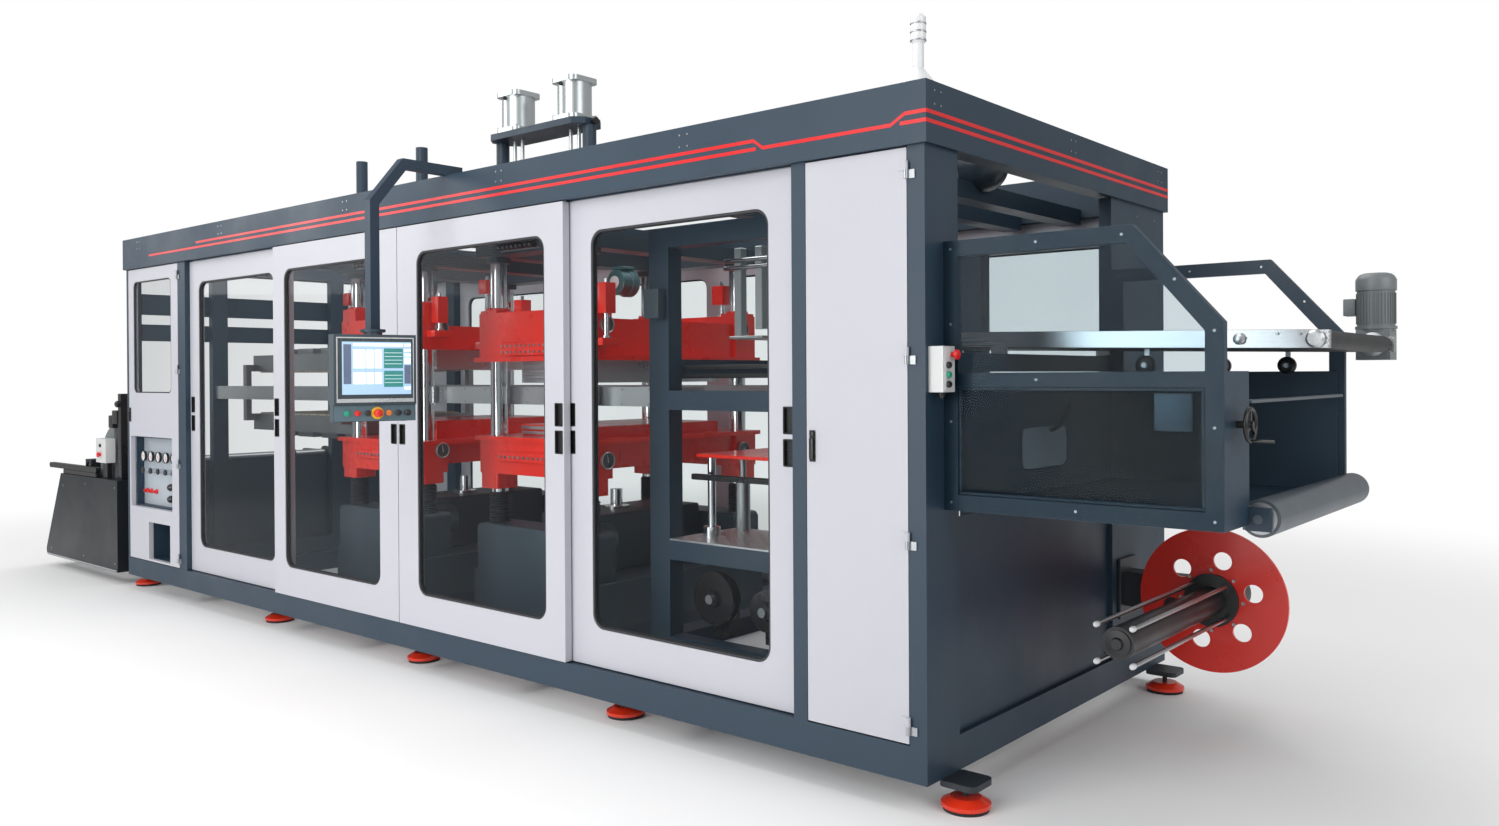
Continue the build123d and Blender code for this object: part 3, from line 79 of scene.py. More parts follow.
def add_camera():
    ahead = Vector((-sin(YAW), cos(YAW), 0))
    right = Vector((cos(YAW), sin(YAW), 0))
    up = Vector((0, 0, 1))
    look = cos(PITCH) * ahead + sin(PITCH) * up
    lift = cos(PITCH) * up - sin(PITCH) * ahead
    side = cos(ROLL) * right + sin(ROLL) * lift
    lift = cos(ROLL) * lift - sin(ROLL) * right
    data = bpy.data.cameras.new("camera")
    data.sensor_width = 36.0
    data.lens = 36.0 * FOCAL_PIXELS / PICTURE_WIDTH
    data.shift_y = (HORIZON_ROW - PICTURE_HEIGHT / 2) / PICTURE_WIDTH
    camera = bpy.data.objects.new("camera", data)
    camera.matrix_world = Matrix.Translation(mid(*EYE)) @ Matrix((side, lift, -look)).transposed().to_4x4()
    scene.collection.objects.link(camera)
    scene.camera = camera
    print("lens", round(data.lens, 2), "mm")


add_camera()

# %% [markdown]
# ## Nodes in one line
# A material is a small tree of nodes. `feed` gives a node its inputs, each a plain value or the
# output that drives it, and `add_node` makes a node and feeds it.

# %% Nodes
def feed(tree, node, inputs):
    """Set each named input to a value, or link it to the socket given for it."""
    for name, value in inputs.items():
        if isinstance(value, bpy.types.NodeSocket):
            tree.links.new(value, node.inputs[name])
        else:
            node.inputs[name].default_value = value


def add_node(tree, kind, inputs=None, **options):
    """A new node with its options set and its inputs fed."""
    node = tree.nodes.new(kind)
    for option, value in options.items():
        setattr(node, option, value)
    feed(tree, node, inputs or {})
    return node


def new_material(name):
    """A material with its tree, its shader node and the coordinates of the object."""
    material = bpy.data.materials.new(name)
    material.use_nodes = True
    tree = material.node_tree
    where = add_node(tree, "ShaderNodeTexCoord").outputs["Object"]
    return material, tree, tree.nodes["Principled BSDF"], where


def show_mix(tree, output, amount, one, two):
    """What is seen is one shader, with the other mixed in by the amount."""
    mixed = add_node(tree, "ShaderNodeMixShader", {0: amount, 1: one, 2: two})
    feed(tree, tree.nodes[output], {"Surface": mixed.outputs[0]})


# %% [markdown]
# ## Light and floor
# A machine in a catalogue is lit by large soft boxes: one high on the camera's side, a low one
# that looks in through the windows, one that rakes along the front from the film end, and a weak
# one for the delivery end. The world gives the rest. The white backdrop is only what camera and
# glass rays see, so it doesn't flood the machine with light. The floor turns into the
# same white some metres away from the machine, so there is no horizon.

# %% Light and floor
WHITE = (1.0, 1.0, 1.0, 1)
FLOOR_HALF = 40.0
FADE_START, FADE_END = 4.0, 10.0
LAMPS = (  # name, place, target, size, power
    ("key lamp", (1.5, -7.5, 6.0), (0.0, -0.5, 1.0), 6.0, 300.0),
    ("window lamp", (1.0, -7.5, 1.9), (0.0, 0.0, 1.5), 3.0, 150.0),
    ("film end lamp", (-7.5, -5.0, 4.5), (-2.0, 0.0, 1.2), 4.0, 150.0),
    ("delivery end lamp", (9.0, -1.0, 4.0), (3.5, 0.0, 1.2), 4.0, 130.0),
    ("roof lamp", (0.0, 1.0, 7.5), (0.0, 0.0, 1.5), 7.0, 380.0),
)


def add_lamps():
    for name, place, target, size, power in LAMPS:
        data = bpy.data.lights.new(name, "AREA")
        data.size = size
        data.energy = power
        lamp = bpy.data.objects.new(name, data)
        lamp.location = mid(*place)
        lamp.rotation_euler = (mid(*target) - mid(*place)).to_track_quat("-Z", "Y").to_euler()
        scene.collection.objects.link(lamp)


def add_world():
    world = bpy.data.worlds.new("studio")
    world.use_nodes = True
    scene.world = world
    tree = world.node_tree
    light = tree.nodes["Background"]
    feed(tree, light, {"Color": WHITE, "Strength": 0.42})
    backdrop = add_node(tree, "ShaderNodeBackground", {"Color": WHITE, "Strength": 1.0})
    ray = add_node(tree, "ShaderNodeLightPath").outputs
    seen = add_node(tree, "ShaderNodeMath", {0: ray["Is Camera Ray"], 1: ray["Is Transmission Ray"]},
                    operation="MAXIMUM")
    show_mix(tree, "World Output", seen.outputs[0], light.outputs[0], backdrop.outputs[0])


def add_floor():
    mesh = bpy.data.meshes.new("floor")
    corners = [(x * FLOOR_HALF, y * FLOOR_HALF, 0) for x, y in ((-1, -1), (1, -1), (1, 1), (-1, 1))]
    mesh.from_pydata(corners, [], [(0, 1, 2, 3)])
    floor = bpy.data.objects.new("floor", mesh)
    material, tree, shader, where = new_material("floor")
    feed(tree, shader, {"Base Color": (0.90, 0.90, 0.90, 1), "Roughness": 0.8})
    white = add_node(tree, "ShaderNodeEmission", {"Color": WHITE})
    reach = add_node(tree, "ShaderNodeVectorMath", {0: where}, operation="LENGTH")
    fade = add_node(tree, "ShaderNodeMapRange", {
        "From Min": FADE_START, "From Max": FADE_END, "Value": reach.outputs["Value"]},
                    interpolation_type="SMOOTHSTEP")
    ray = add_node(tree, "ShaderNodeLightPath").outputs
    shown = add_node(tree, "ShaderNodeMath", {0: fade.outputs["Result"], 1: ray["Is Camera Ray"]},
                     operation="MULTIPLY")
    show_mix(tree, "Material Output", shown.outputs[0], shader.outputs[0], white.outputs[0])
    mesh.materials.append(material)
    scene.collection.objects.link(floor)


add_lamps()
add_world()
add_floor()
scene.view_settings.view_transform = "Standard"

# %% [markdown]
# ## Finishes
# Nothing on a real machine has one flat colour. A powder coat drifts a little in tone over a metre
# and is finely pitted, drawn metal is streaked along its length, and a casting is lumpy under its
# enamel. `finish` builds all of these from two noises on the object's own coordinates: a broad one
# for tone and gloss, a fine one for the relief.

# %% Finishes
def finish(name, colour, roughness=0.45, metallic=0.0, drift=0.10, cloud=1.6, relief=0.15, grain=420.0,
           stretch=(1, 1, 1), coat=0.0, gloss_drift=0.10, mirror=0.5):
    """A paint or bare metal: drift is how far the tone wanders, relief how deep the fine grain is."""
    material, tree, shader, where = new_material(name)
    streak = add_node(tree, "ShaderNodeMapping", {"Scale": stretch, "Vector": where}).outputs["Vector"]
    broad = add_node(tree, "ShaderNodeTexNoise", {
        "Scale": cloud, "Detail": 6.0, "Roughness": 0.62, "Vector": streak}).outputs["Fac"]
    tone = add_node(tree, "ShaderNodeMix", {
        "A": (*[c * (1 - drift) for c in colour], 1), "B": (*[min(1.0, c * (1 + drift)) for c in colour], 1),
        "Factor": broad}, data_type="RGBA")
    gloss = add_node(tree, "ShaderNodeMapRange", {
        "From Min": 0.3, "From Max": 0.7, "To Min": max(0.02, roughness - gloss_drift),
        "To Max": min(1.0, roughness + gloss_drift), "Value": broad})
    fine = add_node(tree, "ShaderNodeTexNoise", {"Scale": grain, "Detail": 2.0, "Vector": streak})
    bump = add_node(tree, "ShaderNodeBump", {
        "Strength": relief, "Distance": 0.0006, "Height": fine.outputs["Fac"]})
    feed(tree, shader, {"Base Color": tone.outputs["Result"], "Roughness": gloss.outputs["Result"],
                        "Normal": bump.outputs["Normal"], "Metallic": metallic, "Specular IOR Level": mirror,
                        "Coat Weight": coat, "Coat Roughness": 0.08})
    return material


def glazing(name, tint, body, roughness=0.03):
    """A clear sheet: what it lets through is tinted, and it mirrors more at a glancing angle."""
    material, tree, shader, where = new_material(name)
    feed(tree, shader, {"Base Color": (*body, 1), "Roughness": roughness})
    clear = add_node(tree, "ShaderNodeBsdfTransparent", {"Color": (*tint, 1)})
    edge = add_node(tree, "ShaderNodeLayerWeight")
    steep = add_node(tree, "ShaderNodeMath", {0: edge.outputs["Facing"], 1: 4.0}, operation="POWER")
    film = add_node(tree, "ShaderNodeTexNoise", {"Scale": 2.2, "Detail": 5.0, "Vector": where})
    haze = add_node(tree, "ShaderNodeMapRange", {
        "To Min": 0.02, "To Max": 0.07, "Value": film.outputs["Fac"]}).outputs["Result"]
    amount = add_node(tree, "ShaderNodeMath", {0: steep.outputs[0], 1: haze}, operation="ADD")
    show_mix(tree, "Material Output", amount.outputs[0], clear.outputs[0], shader.outputs[0])
    return material


SIGNAL_RED = (0.90, 0.024, 0.008)
ALONG_X, ALONG_Y, ALONG_Z = (0.02, 1, 1), (1, 0.02, 1), (1, 1, 0.02)
zinc = finish("zinc plate", (0.42, 0.44, 0.46), roughness=0.36, metallic=0.9, drift=0.16, cloud=14.0)
bright_bar = finish("drawn bar", (0.45, 0.46, 0.47), roughness=0.28, metallic=1.0,
                    stretch=ALONG_Y, grain=500.0)
seal_rubber = finish("window seal rubber", (0.030, 0.032, 0.036), roughness=0.6, drift=0.1, relief=0.2)
stripe_red = finish("stripe enamel", (0.72, 0.012, 0.014), roughness=0.35, drift=0.04, relief=0.05)
dial_white = finish("dial face", (0.70, 0.71, 0.70), roughness=0.35, drift=0.04, relief=0.02)
servo_teal = finish("servo enamel", (0.055, 0.135, 0.150), roughness=0.34, drift=0.08, relief=0.15)

FINISHES = {  # the finish of each material slot
    "slate_paint": finish("slate powder coat", (0.018, 0.040, 0.066), roughness=0.48, drift=0.14),
    "door_paint": finish("lilac grey powder coat", (0.50, 0.505, 0.55), roughness=0.40, drift=0.05,
                         relief=0.20, cloud=0.9),
    "clear_glazing": glazing("clear polycarbonate", (0.965, 0.98, 0.98), (0.05, 0.06, 0.07)),
    "tinted_glazing": glazing("lightly tinted polycarbonate", (0.80, 0.85, 0.87), (0.03, 0.04, 0.05)),
    "foot_rubber": finish("foot rubber", (0.018, 0.018, 0.019), roughness=0.8, relief=0.5, grain=260.0),
    "foot_red": finish("foot enamel", (0.78, 0.035, 0.010), roughness=0.32, coat=0.3),
    "foot_steel": finish("foot plate paint", (0.020, 0.026, 0.032), roughness=0.5),
    "hinge_steel": zinc,
    "board_paint": finish("gauge board coat", (0.42, 0.47, 0.52), roughness=0.45, drift=0.06),
    "column_chrome": finish("hard chrome", (0.72, 0.74, 0.76), roughness=0.12, metallic=1.0, drift=0.04,
                            relief=0.05, grain=900.0, stretch=ALONG_Z, gloss_drift=0.05),
    "press_slate": finish("slate enamel on castings", (0.040, 0.062, 0.080), roughness=0.46, drift=0.18,
                          cloud=3.0, relief=0.5, grain=120.0),
    "press_red": finish("red enamel on castings", SIGNAL_RED, roughness=0.30, drift=0.09, cloud=3.0,
                        relief=0.35, grain=110.0, coat=0.4),
    "tool_aluminium": finish("milled aluminium", (0.60, 0.62, 0.63), roughness=0.34, metallic=0.9, drift=0.07,
                             relief=0.25, grain=300.0, stretch=ALONG_X),
    "rail_aluminium": finish("anodised aluminium", (0.58, 0.60, 0.62), roughness=0.30, metallic=0.95,
                             drift=0.06, relief=0.12, grain=700.0, stretch=ALONG_X),
    "tread_aluminium": finish("tread plate aluminium", (0.52, 0.53, 0.54), roughness=0.38, metallic=0.9,
                              drift=0.14, cloud=9.0),
    "heater_steel": finish("oven sheet steel", (0.32, 0.33, 0.34), roughness=0.40, metallic=0.8, drift=0.15,
                           cloud=5.0),
    "cabinet_paint": finish("cabinet coat", (0.060, 0.105, 0.125), roughness=0.45, drift=0.08),
    "tank_paint": finish("tank enamel", (0.022, 0.036, 0.050), roughness=0.34, drift=0.12, coat=0.2),
    "cylinder_aluminium": finish("anodised aluminium upright", (0.56, 0.60, 0.61), roughness=0.32,
                                 metallic=0.9, drift=0.06, relief=0.12, grain=700.0, stretch=ALONG_Z),
    "beacon_plastic": finish("lamp plastic", (0.74, 0.76, 0.77), roughness=0.22, drift=0.05, relief=0.05),
    "screen_paint": finish("screen case coat", (0.045, 0.065, 0.082), roughness=0.42, drift=0.08, relief=0.3),
    "box_plastic": finish("switch box plastic", (0.62, 0.63, 0.63), roughness=0.35, drift=0.04),
    "roller_grey": finish("roller sleeve", (0.085, 0.105, 0.125), roughness=0.38, drift=0.10, relief=0.3),
    "wheel_black": finish("black plastic", (0.014, 0.014, 0.015), roughness=0.30, drift=0.2, relief=0.08),
    "belt_rubber": finish("conveyor belt", (0.018, 0.019, 0.021), roughness=0.55, drift=0.2, relief=0.5,
                          grain=700.0),
    "motor_grey": finish("motor enamel", (0.165, 0.185, 0.190), roughness=0.42, drift=0.10, relief=0.4,
                         grain=160.0),
    "disc_red": finish("disc enamel", (0.82, 0.024, 0.012), roughness=0.30, drift=0.05, coat=0.3),
    "core_black": finish("blacked steel", (0.016, 0.017, 0.019), roughness=0.36, drift=0.25, cloud=5.0,
                         relief=0.2),
    "rod_steel": bright_bar,
    "bracket_slate": finish("winder bracket coat", (0.026, 0.030, 0.036), roughness=0.45, drift=0.15),
    "charcoal_paint": finish("charcoal powder coat", (0.014, 0.018, 0.022), roughness=0.34, drift=0.15,
                             relief=0.08, mirror=0.22),
    "shaft_steel": bright_bar,
}


def finish_nodes():
    for part in frame["record"]["subparts"]:
        mesh = nodes[part["node"]].data
        mesh.materials.clear()
        mesh.materials.append(FINISHES[part["material_slot"]])


finish_nodes()

# %% [markdown]
# ## Forms
# Small parts are built corner by corner, straight in the frame's coordinates, so every finished
# object sits at the origin unturned. A form is a function that draws itself into a bmesh. A few
# of them cover nearly all: a block with broken edges, a form turned from a profile, a flat plate
# from an outline, a tube along a path, and a gasket. `place` draws a list of forms into one
# object that rides on its body.

# %% Forms
def block(one, other, edge=0.0015, segments=1):
    """A block between two opposite corners, its edges broken so that they catch the light."""
    low, high = Vector(map(min, one, other)), Vector(map(max, one, other))

    def draw(bm):
        verts = bmesh.ops.create_cube(bm, size=1.0)["verts"]
        for vert in verts:
            vert.co = Vector([a * b for a, b in zip(vert.co, high - low)]) + (low + high) / 2
        edges = list({e for vert in verts for e in vert.link_edges})
        bmesh.ops.bevel(bm, geom=edges, offset=edge, segments=segments, affect="EDGES", profile=0.7)
    return draw


def turned(base, axis, profile, steps=28):
    """A turned form: profile lists radius and distance along the axis, from end to end."""
    spin = Vector(axis).to_track_quat("Z", "Y").to_matrix()
    base = Vector(base)

    def draw(bm):
        rings = []
        for radius, along in profile:
            angles = [2 * pi * i / steps for i in range(steps)] if radius > 1e-6 else [0.0]
            rings.append([bm.verts.new(base + spin @ Vector((radius * cos(a), radius * sin(a), along)))
                          for a in angles])
        for one, two in zip(rings, rings[1:]):
            for i in range(steps):
                j = (i + 1) % steps
                corners = [one[i % len(one)], one[j % len(one)], two[j % len(two)], two[i % len(two)]]
                corners = list(dict.fromkeys(corners))
                if len(corners) > 2:
                    bm.faces.new(corners)
    return draw


def disc(base, axis, radius, height, steps=28):
    """A plain round bar or disc."""
    return turned(base, axis, [(0, 0), (radius, 0), (radius, height), (0, height)], steps)


def domed(base, axis, radius, height, tip, rise, steps=28):
    """A round knob or boss that narrows to the radius tip at its top."""
    return turned(base, axis, [(0, 0), (radius, 0), (radius, height), (tip, rise), (0, rise)], steps)


def ring(base, axis, inner, outer, height, rise, steps=28):
    """A collar, as high as height outside and as high as rise at its bore."""
    profile = [(inner, 0), (outer, 0), (outer, height), (inner, rise), (inner, 0)]
    return turned(base, axis, profile, steps)


def plate(outline, push):
    """A flat plate: an outline of points, thickened by the vector push."""
    def draw(bm):
        face = bm.faces.new([bm.verts.new(Vector(point)) for point in outline])
        grown = bmesh.ops.extrude_face_region(bm, geom=[face])["geom"]
        bmesh.ops.translate(bm, verts=[g for g in grown if isinstance(g, bmesh.types.BMVert)], vec=push)
    return draw


def smooth_path(points, steps=8):
    """A soft curve through the given points."""
    ends = [2 * points[0] - points[1]] + points + [2 * points[-1] - points[-2]]
    path = []
    for a, b, c, d in zip(ends, ends[1:], ends[2:], ends[3:]):
        for i in range(steps):
            t = i / steps
            path.append(0.5 * (2 * b + (c - a) * t + (2 * a - 5 * b + 4 * c - d) * t * t
                               + (3 * b - a - 3 * c + d) * t * t * t))
    return path + [points[-1]]


def tube(path, radius, sides=8):
    """A round tube along a path of points, closed at both ends."""
    def draw(bm):
        rings = []
        side = None
        for i, point in enumerate(path):
            ahead = (path[min(i + 1, len(path) - 1)] - path[max(i - 1, 0)]).normalized()
            side = side or ahead.orthogonal().normalized()
            side = (side - ahead * side.dot(ahead)).normalized()
            up = ahead.cross(side)
            turns = [2 * pi * k / sides for k in range(sides)]
            rings.append([bm.verts.new(point + radius * (cos(a) * side + sin(a) * up)) for a in turns])
        for one, two in zip(rings, rings[1:]):
            for k in range(sides):
                bm.faces.new([one[k], one[(k + 1) % sides], two[(k + 1) % sides], two[k]])
        bm.faces.new(rings[0])
        bm.faces.new(rings[-1])
    return draw


def rounded(x0, x1, z0, z1, radius, steps=7):
    """A rectangle with round corners, as a loop of (x, z) pairs."""
    loop = []
    for cx, cz, start in ((x1 - radius, z1 - radius, 0), (x0 + radius, z1 - radius, 1),
                          (x0 + radius, z0 + radius, 2), (x1 - radius, z0 + radius, 3)):
        for i in range(steps + 1):
            a = (start + i / steps) * pi / 2
            loop.append((cx + radius * cos(a), cz + radius * sin(a)))
    return loop


def gasket(x0, x1, z0, z1, radius, width, y0, y1):
    """A flat frame with rounded corners in the X-Z plane, from y0 back to y1."""
    outer = rounded(x0, x1, z0, z1, radius)
    inner = rounded(x0 + width, x1 - width, z0 + width, z1 - width, max(radius - width, 0.001))

    def draw(bm):
        loops = [[bm.verts.new((x, y, z)) for x, z in loop] for loop, y in
                 ((outer, y0), (inner, y0), (inner, y1), (outer, y1))]
        for one, two in zip(loops, loops[1:] + loops[:1]):
            for i in range(len(one)):
                j = (i + 1) % len(one)
                bm.faces.new([one[i], one[j], two[j], two[i]])
    return draw


def ride(name, mesh, body):
    """Make the mesh a piece of the scene that rides on a body."""
    mesh.set_sharp_from_angle(angle=radians(34))
    piece = bpy.data.objects.new(name, mesh)
    scene.collection.objects.link(piece)
    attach(piece, body)
    print(name, len(mesh.polygons), "faces")


def place(name, body, slot, forms, material=None):
    """Draw the forms into one piece, in the slot's own finish or in the one given."""
    bm = bmesh.new()
    for form in forms:
        form(bm)
    bmesh.ops.recalc_face_normals(bm, faces=bm.faces)
    mesh = bpy.data.meshes.new(name)
    bm.to_mesh(mesh)
    bm.free()
    mesh.polygons.foreach_set("use_smooth", [True] * len(mesh.polygons))
    mesh.materials.append(material or FINISHES[slot])
    ride(name, mesh, body)


# %% [markdown]
# ## Repeats by Geometry Nodes
# A machine has hundreds of like fasteners. One small node tree sets a many-sided disc on every
# point of a cloud and aims it along the point's own direction. Six sides give a hexagon head,
# twelve a round one, so the same tree makes screws, fittings and chain rollers.

# %% A tree that sets heads on points
def heads_tree():
    tree = bpy.data.node_groups.new("heads on points", "GeometryNodeTree")
    for name, kind in (("Geometry", "Geometry"), ("Radius", "Float"), ("Height", "Float"), ("Sides", "Int"),
                       ("Finish", "Material")):
        tree.interface.new_socket(name, in_out="INPUT", socket_type="NodeSocket" + kind)
    tree.interface.new_socket("Geometry", in_out="OUTPUT", socket_type="NodeSocketGeometry")
    start = add_node(tree, "NodeGroupInput").outputs
    head = add_node(tree, "GeometryNodeMeshCylinder", {"Radius": start["Radius"], "Depth": start["Height"],
                                                       "Vertices": start["Sides"]})
    aim = add_node(tree, "GeometryNodeInputNamedAttribute", {"Name": "aim"}, data_type="FLOAT_VECTOR")
    turn = add_node(tree, "FunctionNodeAlignRotationToVector", {"Vector": aim.outputs["Attribute"]}, axis="Z")
    spread = add_node(tree, "GeometryNodeInstanceOnPoints", {
        "Points": start["Geometry"], "Instance": head.outputs["Mesh"], "Rotation": turn.outputs["Rotation"]})
    real = add_node(tree, "GeometryNodeRealizeInstances", {"Geometry": spread.outputs["Instances"]})
    dressed = add_node(tree, "GeometryNodeSetMaterial", {"Geometry": real.outputs["Geometry"],
                                                         "Material": start["Finish"]})
    add_node(tree, "NodeGroupOutput", {"Geometry": dressed.outputs["Geometry"]})
    return tree


HEADS = heads_tree()


def set_heads(name, body, places, radius, height, sides=6):
    """Put a zinc head on each (point, direction) pair and turn the result into a plain mesh."""
    cloud = bpy.data.meshes.new(name + " points")
    cloud.from_pydata([tuple(point) for point, _ in places], [], [])
    aim = cloud.attributes.new("aim", "FLOAT_VECTOR", "POINT")
    aim.data.foreach_set("vector", [c for _, direction in places for c in direction])
    carrier = bpy.data.objects.new(name + " carrier", cloud)
    scene.collection.objects.link(carrier)
    modifier = carrier.modifiers.new("heads", "NODES")
    modifier.node_group = HEADS
    values = {"Radius": radius, "Height": height, "Sides": sides, "Finish": zinc}
    for socket in HEADS.interface.items_tree:
        if socket.in_out == "INPUT" and socket.name in values:
            modifier[socket.identifier] = values[socket.name]
    bpy.context.view_layer.update()
    mesh = bpy.data.meshes.new_from_object(carrier.evaluated_get(bpy.context.evaluated_depsgraph_get()))
    bpy.data.objects.remove(carrier)
    mesh.name = name
    ride(name, mesh, body)


# %% [markdown]
# ## Stripes on the fascia
# Two thin red lines run round the top boards. They are painted on, so each is a very thin plate,
# and it wraps the near corner. Over the narrow door the upper line dips into the place of the
# lower one, which stops there, and both start again before the corner.

# %% Fascia stripes
fascia_low, fascia_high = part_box("fascia_long")
STRIPE = 0.014
UPPER_LINE, LOWER_LINE = 0.119, 0.152
SKIN = 0.0006


def line(run, y, out):
    """A stripe on a long side, through (x, drop) points measured to its lower edge."""
    forms = []
    for (x0, drop0), (x1, drop1) in zip(run, run[1:]):
        z0, z1 = fascia_high.z - drop0, fascia_high.z - drop1
        forms.append(plate([(x0, y, z0), (x1, y, z1), (x1, y, z1 + STRIPE), (x0, y, z0 + STRIPE)],
                           (0, out * SKIN, 0)))
    return forms


def fascia_stripes():
    x0, x1 = fascia_low.x, fascia_high.x
    start, dip, floor, rise, end, upper, lower, restart = [
        MIDDLE.x + x for x in (-2.255, 2.694, 2.740, 3.336, 3.395, -3.015, 2.705, 3.375)]
    front = fascia_low.y
    forms = line([(start, UPPER_LINE), (dip, UPPER_LINE), (floor, LOWER_LINE), (rise, LOWER_LINE),
                  (end, UPPER_LINE), (x1, UPPER_LINE)], front, -1)
    forms += line([(upper, LOWER_LINE), (lower, LOWER_LINE)], front, -1)
    forms += line([(restart, LOWER_LINE), (x1, LOWER_LINE)], front, -1)
    for drop in (UPPER_LINE, LOWER_LINE):
        forms += line([(x0, drop), (x1, drop)], fascia_high.y, 1)
        z = fascia_high.z - drop
        for x, out in ((x0, -1), (x1, 1)):
            forms.append(plate([(x, front, z), (x, fascia_high.y, z), (x, fascia_high.y, z + STRIPE),
                                (x, front, z + STRIPE)], (out * SKIN, 0, 0)))
    place("fascia_stripes", "machine", "disc_red", forms, stripe_red)


fascia_stripes()


# %% [markdown]
# ## Doors: seals and pulls
# Each door window sits in a dark rubber seal. The pulls are black plastic trays pressed into the
# door's pockets: a rim, and a floor set back so that fingers go in. A door slides, so its seal and
# trays ride on the door's body.

# %% Door trim
PULL_WIDTH, PULL_DEPTH, PULL_HEIGHT = 0.059, 0.016, 0.110
PULL_LOW, PULL_STEP, PULL_EDGE = 1.210, 0.128, 0.008
WINDOW_CORNER = 0.070
PLAY = 0.001


def pane_seal(low, high, corner, width, y0, y1):
    """The seal round a pane, with a little play to the door it sits in."""
    return gasket(low.x + PLAY, high.x - PLAY, low.z + PLAY, high.z - PLAY, corner, width, y0, y1)


def door_trim():
    for number in range(1, 5):
        body = f"door_{number}"
        low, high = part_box(f"{body}_pane")
        frame_low, frame_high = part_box(f"{body}_frame")
        face = frame_low.y
        place(f"{body}_seal", body, "foot_rubber", [
            pane_seal(low, high, WINDOW_CORNER, 0.009, face + 0.003, low.y - 0.0005),
            pane_seal(low, high, WINDOW_CORNER, 0.012, high.y + 0.0005, high.y + 0.008)], seal_rubber)
        trays = []
        for x in (frame_low.x + PULL_EDGE, frame_high.x - PULL_EDGE - PULL_WIDTH):
            for z in (PULL_LOW, PULL_LOW + PULL_STEP):
                x1, z1 = x + PULL_WIDTH, z + PULL_HEIGHT
                trays.append(gasket(x + PLAY, x1 - PLAY, z + PLAY, z1 - PLAY, 0.006, 0.005,
                                    face + 0.0005, face + PULL_DEPTH - 0.001))
                floor = rounded(x + 0.004, x1 - 0.004, z + 0.004, z1 - 0.004, 0.004, 3)
                trays.append(plate([(p, face + PULL_DEPTH - 0.0025, q) for p, q in floor], (0, 0.002, 0)))
        place(f"{body}_pulls", body, "wheel_black", trays)


door_trim()

# %% [markdown]
# ## Seals of the fixed panes
# The service door's window and the four panels at the back have the same seal.

# %% Fixed seals
REAR_START = -2.473
REAR_STILE = 0.110


def fixed_seals():
    low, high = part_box("left_service_pane")
    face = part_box("left_service_door")[0].y + 0.019
    place("left_service_seal", "left_service_door", "foot_rubber",
          [pane_seal(low, high, 0.045, 0.008, face + 0.002, low.y - 0.0005)], seal_rubber)
    low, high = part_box("rear_panes")
    frame_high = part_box("rear_frames")[1]
    start = mid(REAR_START, 0, 0).x
    bay = (frame_high.x - start) / 4
    seals = []
    for i in range(4):
        x0 = start + i * bay + REAR_STILE
        x1 = x0 + bay - 2 * REAR_STILE
        seals.append(gasket(x0 + PLAY, x1 - PLAY, low.z + PLAY, high.z - PLAY, WINDOW_CORNER, 0.009,
                            high.y + 0.0005, frame_high.y - 0.003))
    place("rear_seals", "machine", "foot_rubber", seals, seal_rubber)


fixed_seals()

# %% [markdown]
# ## Screws
# Pairs of screws hold the fascia boards to the roof beams, and the end panel has its own, each
# head aimed out of the surface that it sits on.

# %% Screws
def body_screws():
    pair = [(step, drop) for step in (-0.022, 0.022) for drop in (0.033, 0.082)]
    places = []
    for x in (-3.20, -1.90, -0.35, 1.066, 2.312):
        for dx, drop in pair:
            places.append(((MIDDLE.x + x + dx, fascia_low.y, fascia_high.z - drop), FRONT))
    for y in (-1.09, 0.04, 1.05):
        for dy, drop in pair:
            places.append(((fascia_high.x, MIDDLE.y + y + dy, fascia_high.z - drop), RIGHT))
            places.append(((fascia_low.x, MIDDLE.y + y + dy, fascia_high.z - drop), LEFT))
    for z in (0.30, 0.85, 1.40, 1.95, 2.33):
        places += [(mid(END_X, y, z), RIGHT) for y in (1.02, 0.80)]
    set_heads("body_screws", "machine", places, 0.0045, 0.004)


END_X = 3.465  # the delivery end's face
body_screws()

# %% [markdown]
# ## Control screen
# The face of the pendant is a bezel, a lit panel and a light strip under it, over a row of push
# buttons. The picture on the panel is generic: bars, tables and tiles with no writing. It is a
# few thin tiles, so each keeps a clean edge at any distance.

# %% Screen
SCREEN_TURN = radians(75)
SCREEN_W, SCREEN_H, SCREEN_D, STRIP_H, STRIP_D = 0.395, 0.340, 0.090, 0.081, 0.063
SCREEN_PLACE = mid(0.610, -1.580, 1.792 - 0.0003 - 0.012)
HALF_W = SCREEN_W / 2
PANEL_LEFT, PANEL_TOP = -HALF_W + 0.038, 0.036
PANEL_WIDE, PANEL_TALL = HALF_W - 0.026 - PANEL_LEFT, SCREEN_H - 0.050 - PANEL_TOP


def on_screen(x, z, out=0.0, depth=SCREEN_D):
    """A point on the face of the pendant: x along it, z down from its top edge, out of its face."""
    return SCREEN_PLACE + Matrix.Rotation(SCREEN_TURN, 3, "Z") @ Vector((x, -depth / 2 - out, -z))


def face_tile(x0, x1, z0, z1, out, thick, radius=0.002):
    """A thin tile that lies on the face."""
    loop = [on_screen(x, z, out) for x, z in rounded(x0, x1, z0, z1, radius, 3)]
    return plate(loop, on_screen(0, 0, out + thick) - on_screen(0, 0, out))


def tile(u0, u1, v0, v1, out=0.0022):
    """A tile of the picture, in parts of the panel's width and height."""
    return face_tile(PANEL_LEFT + u0 * PANEL_WIDE, PANEL_LEFT + u1 * PANEL_WIDE, PANEL_TOP + v0 * PANEL_TALL,
                     PANEL_TOP + v1 * PANEL_TALL, out, 0.0006, 0.001)


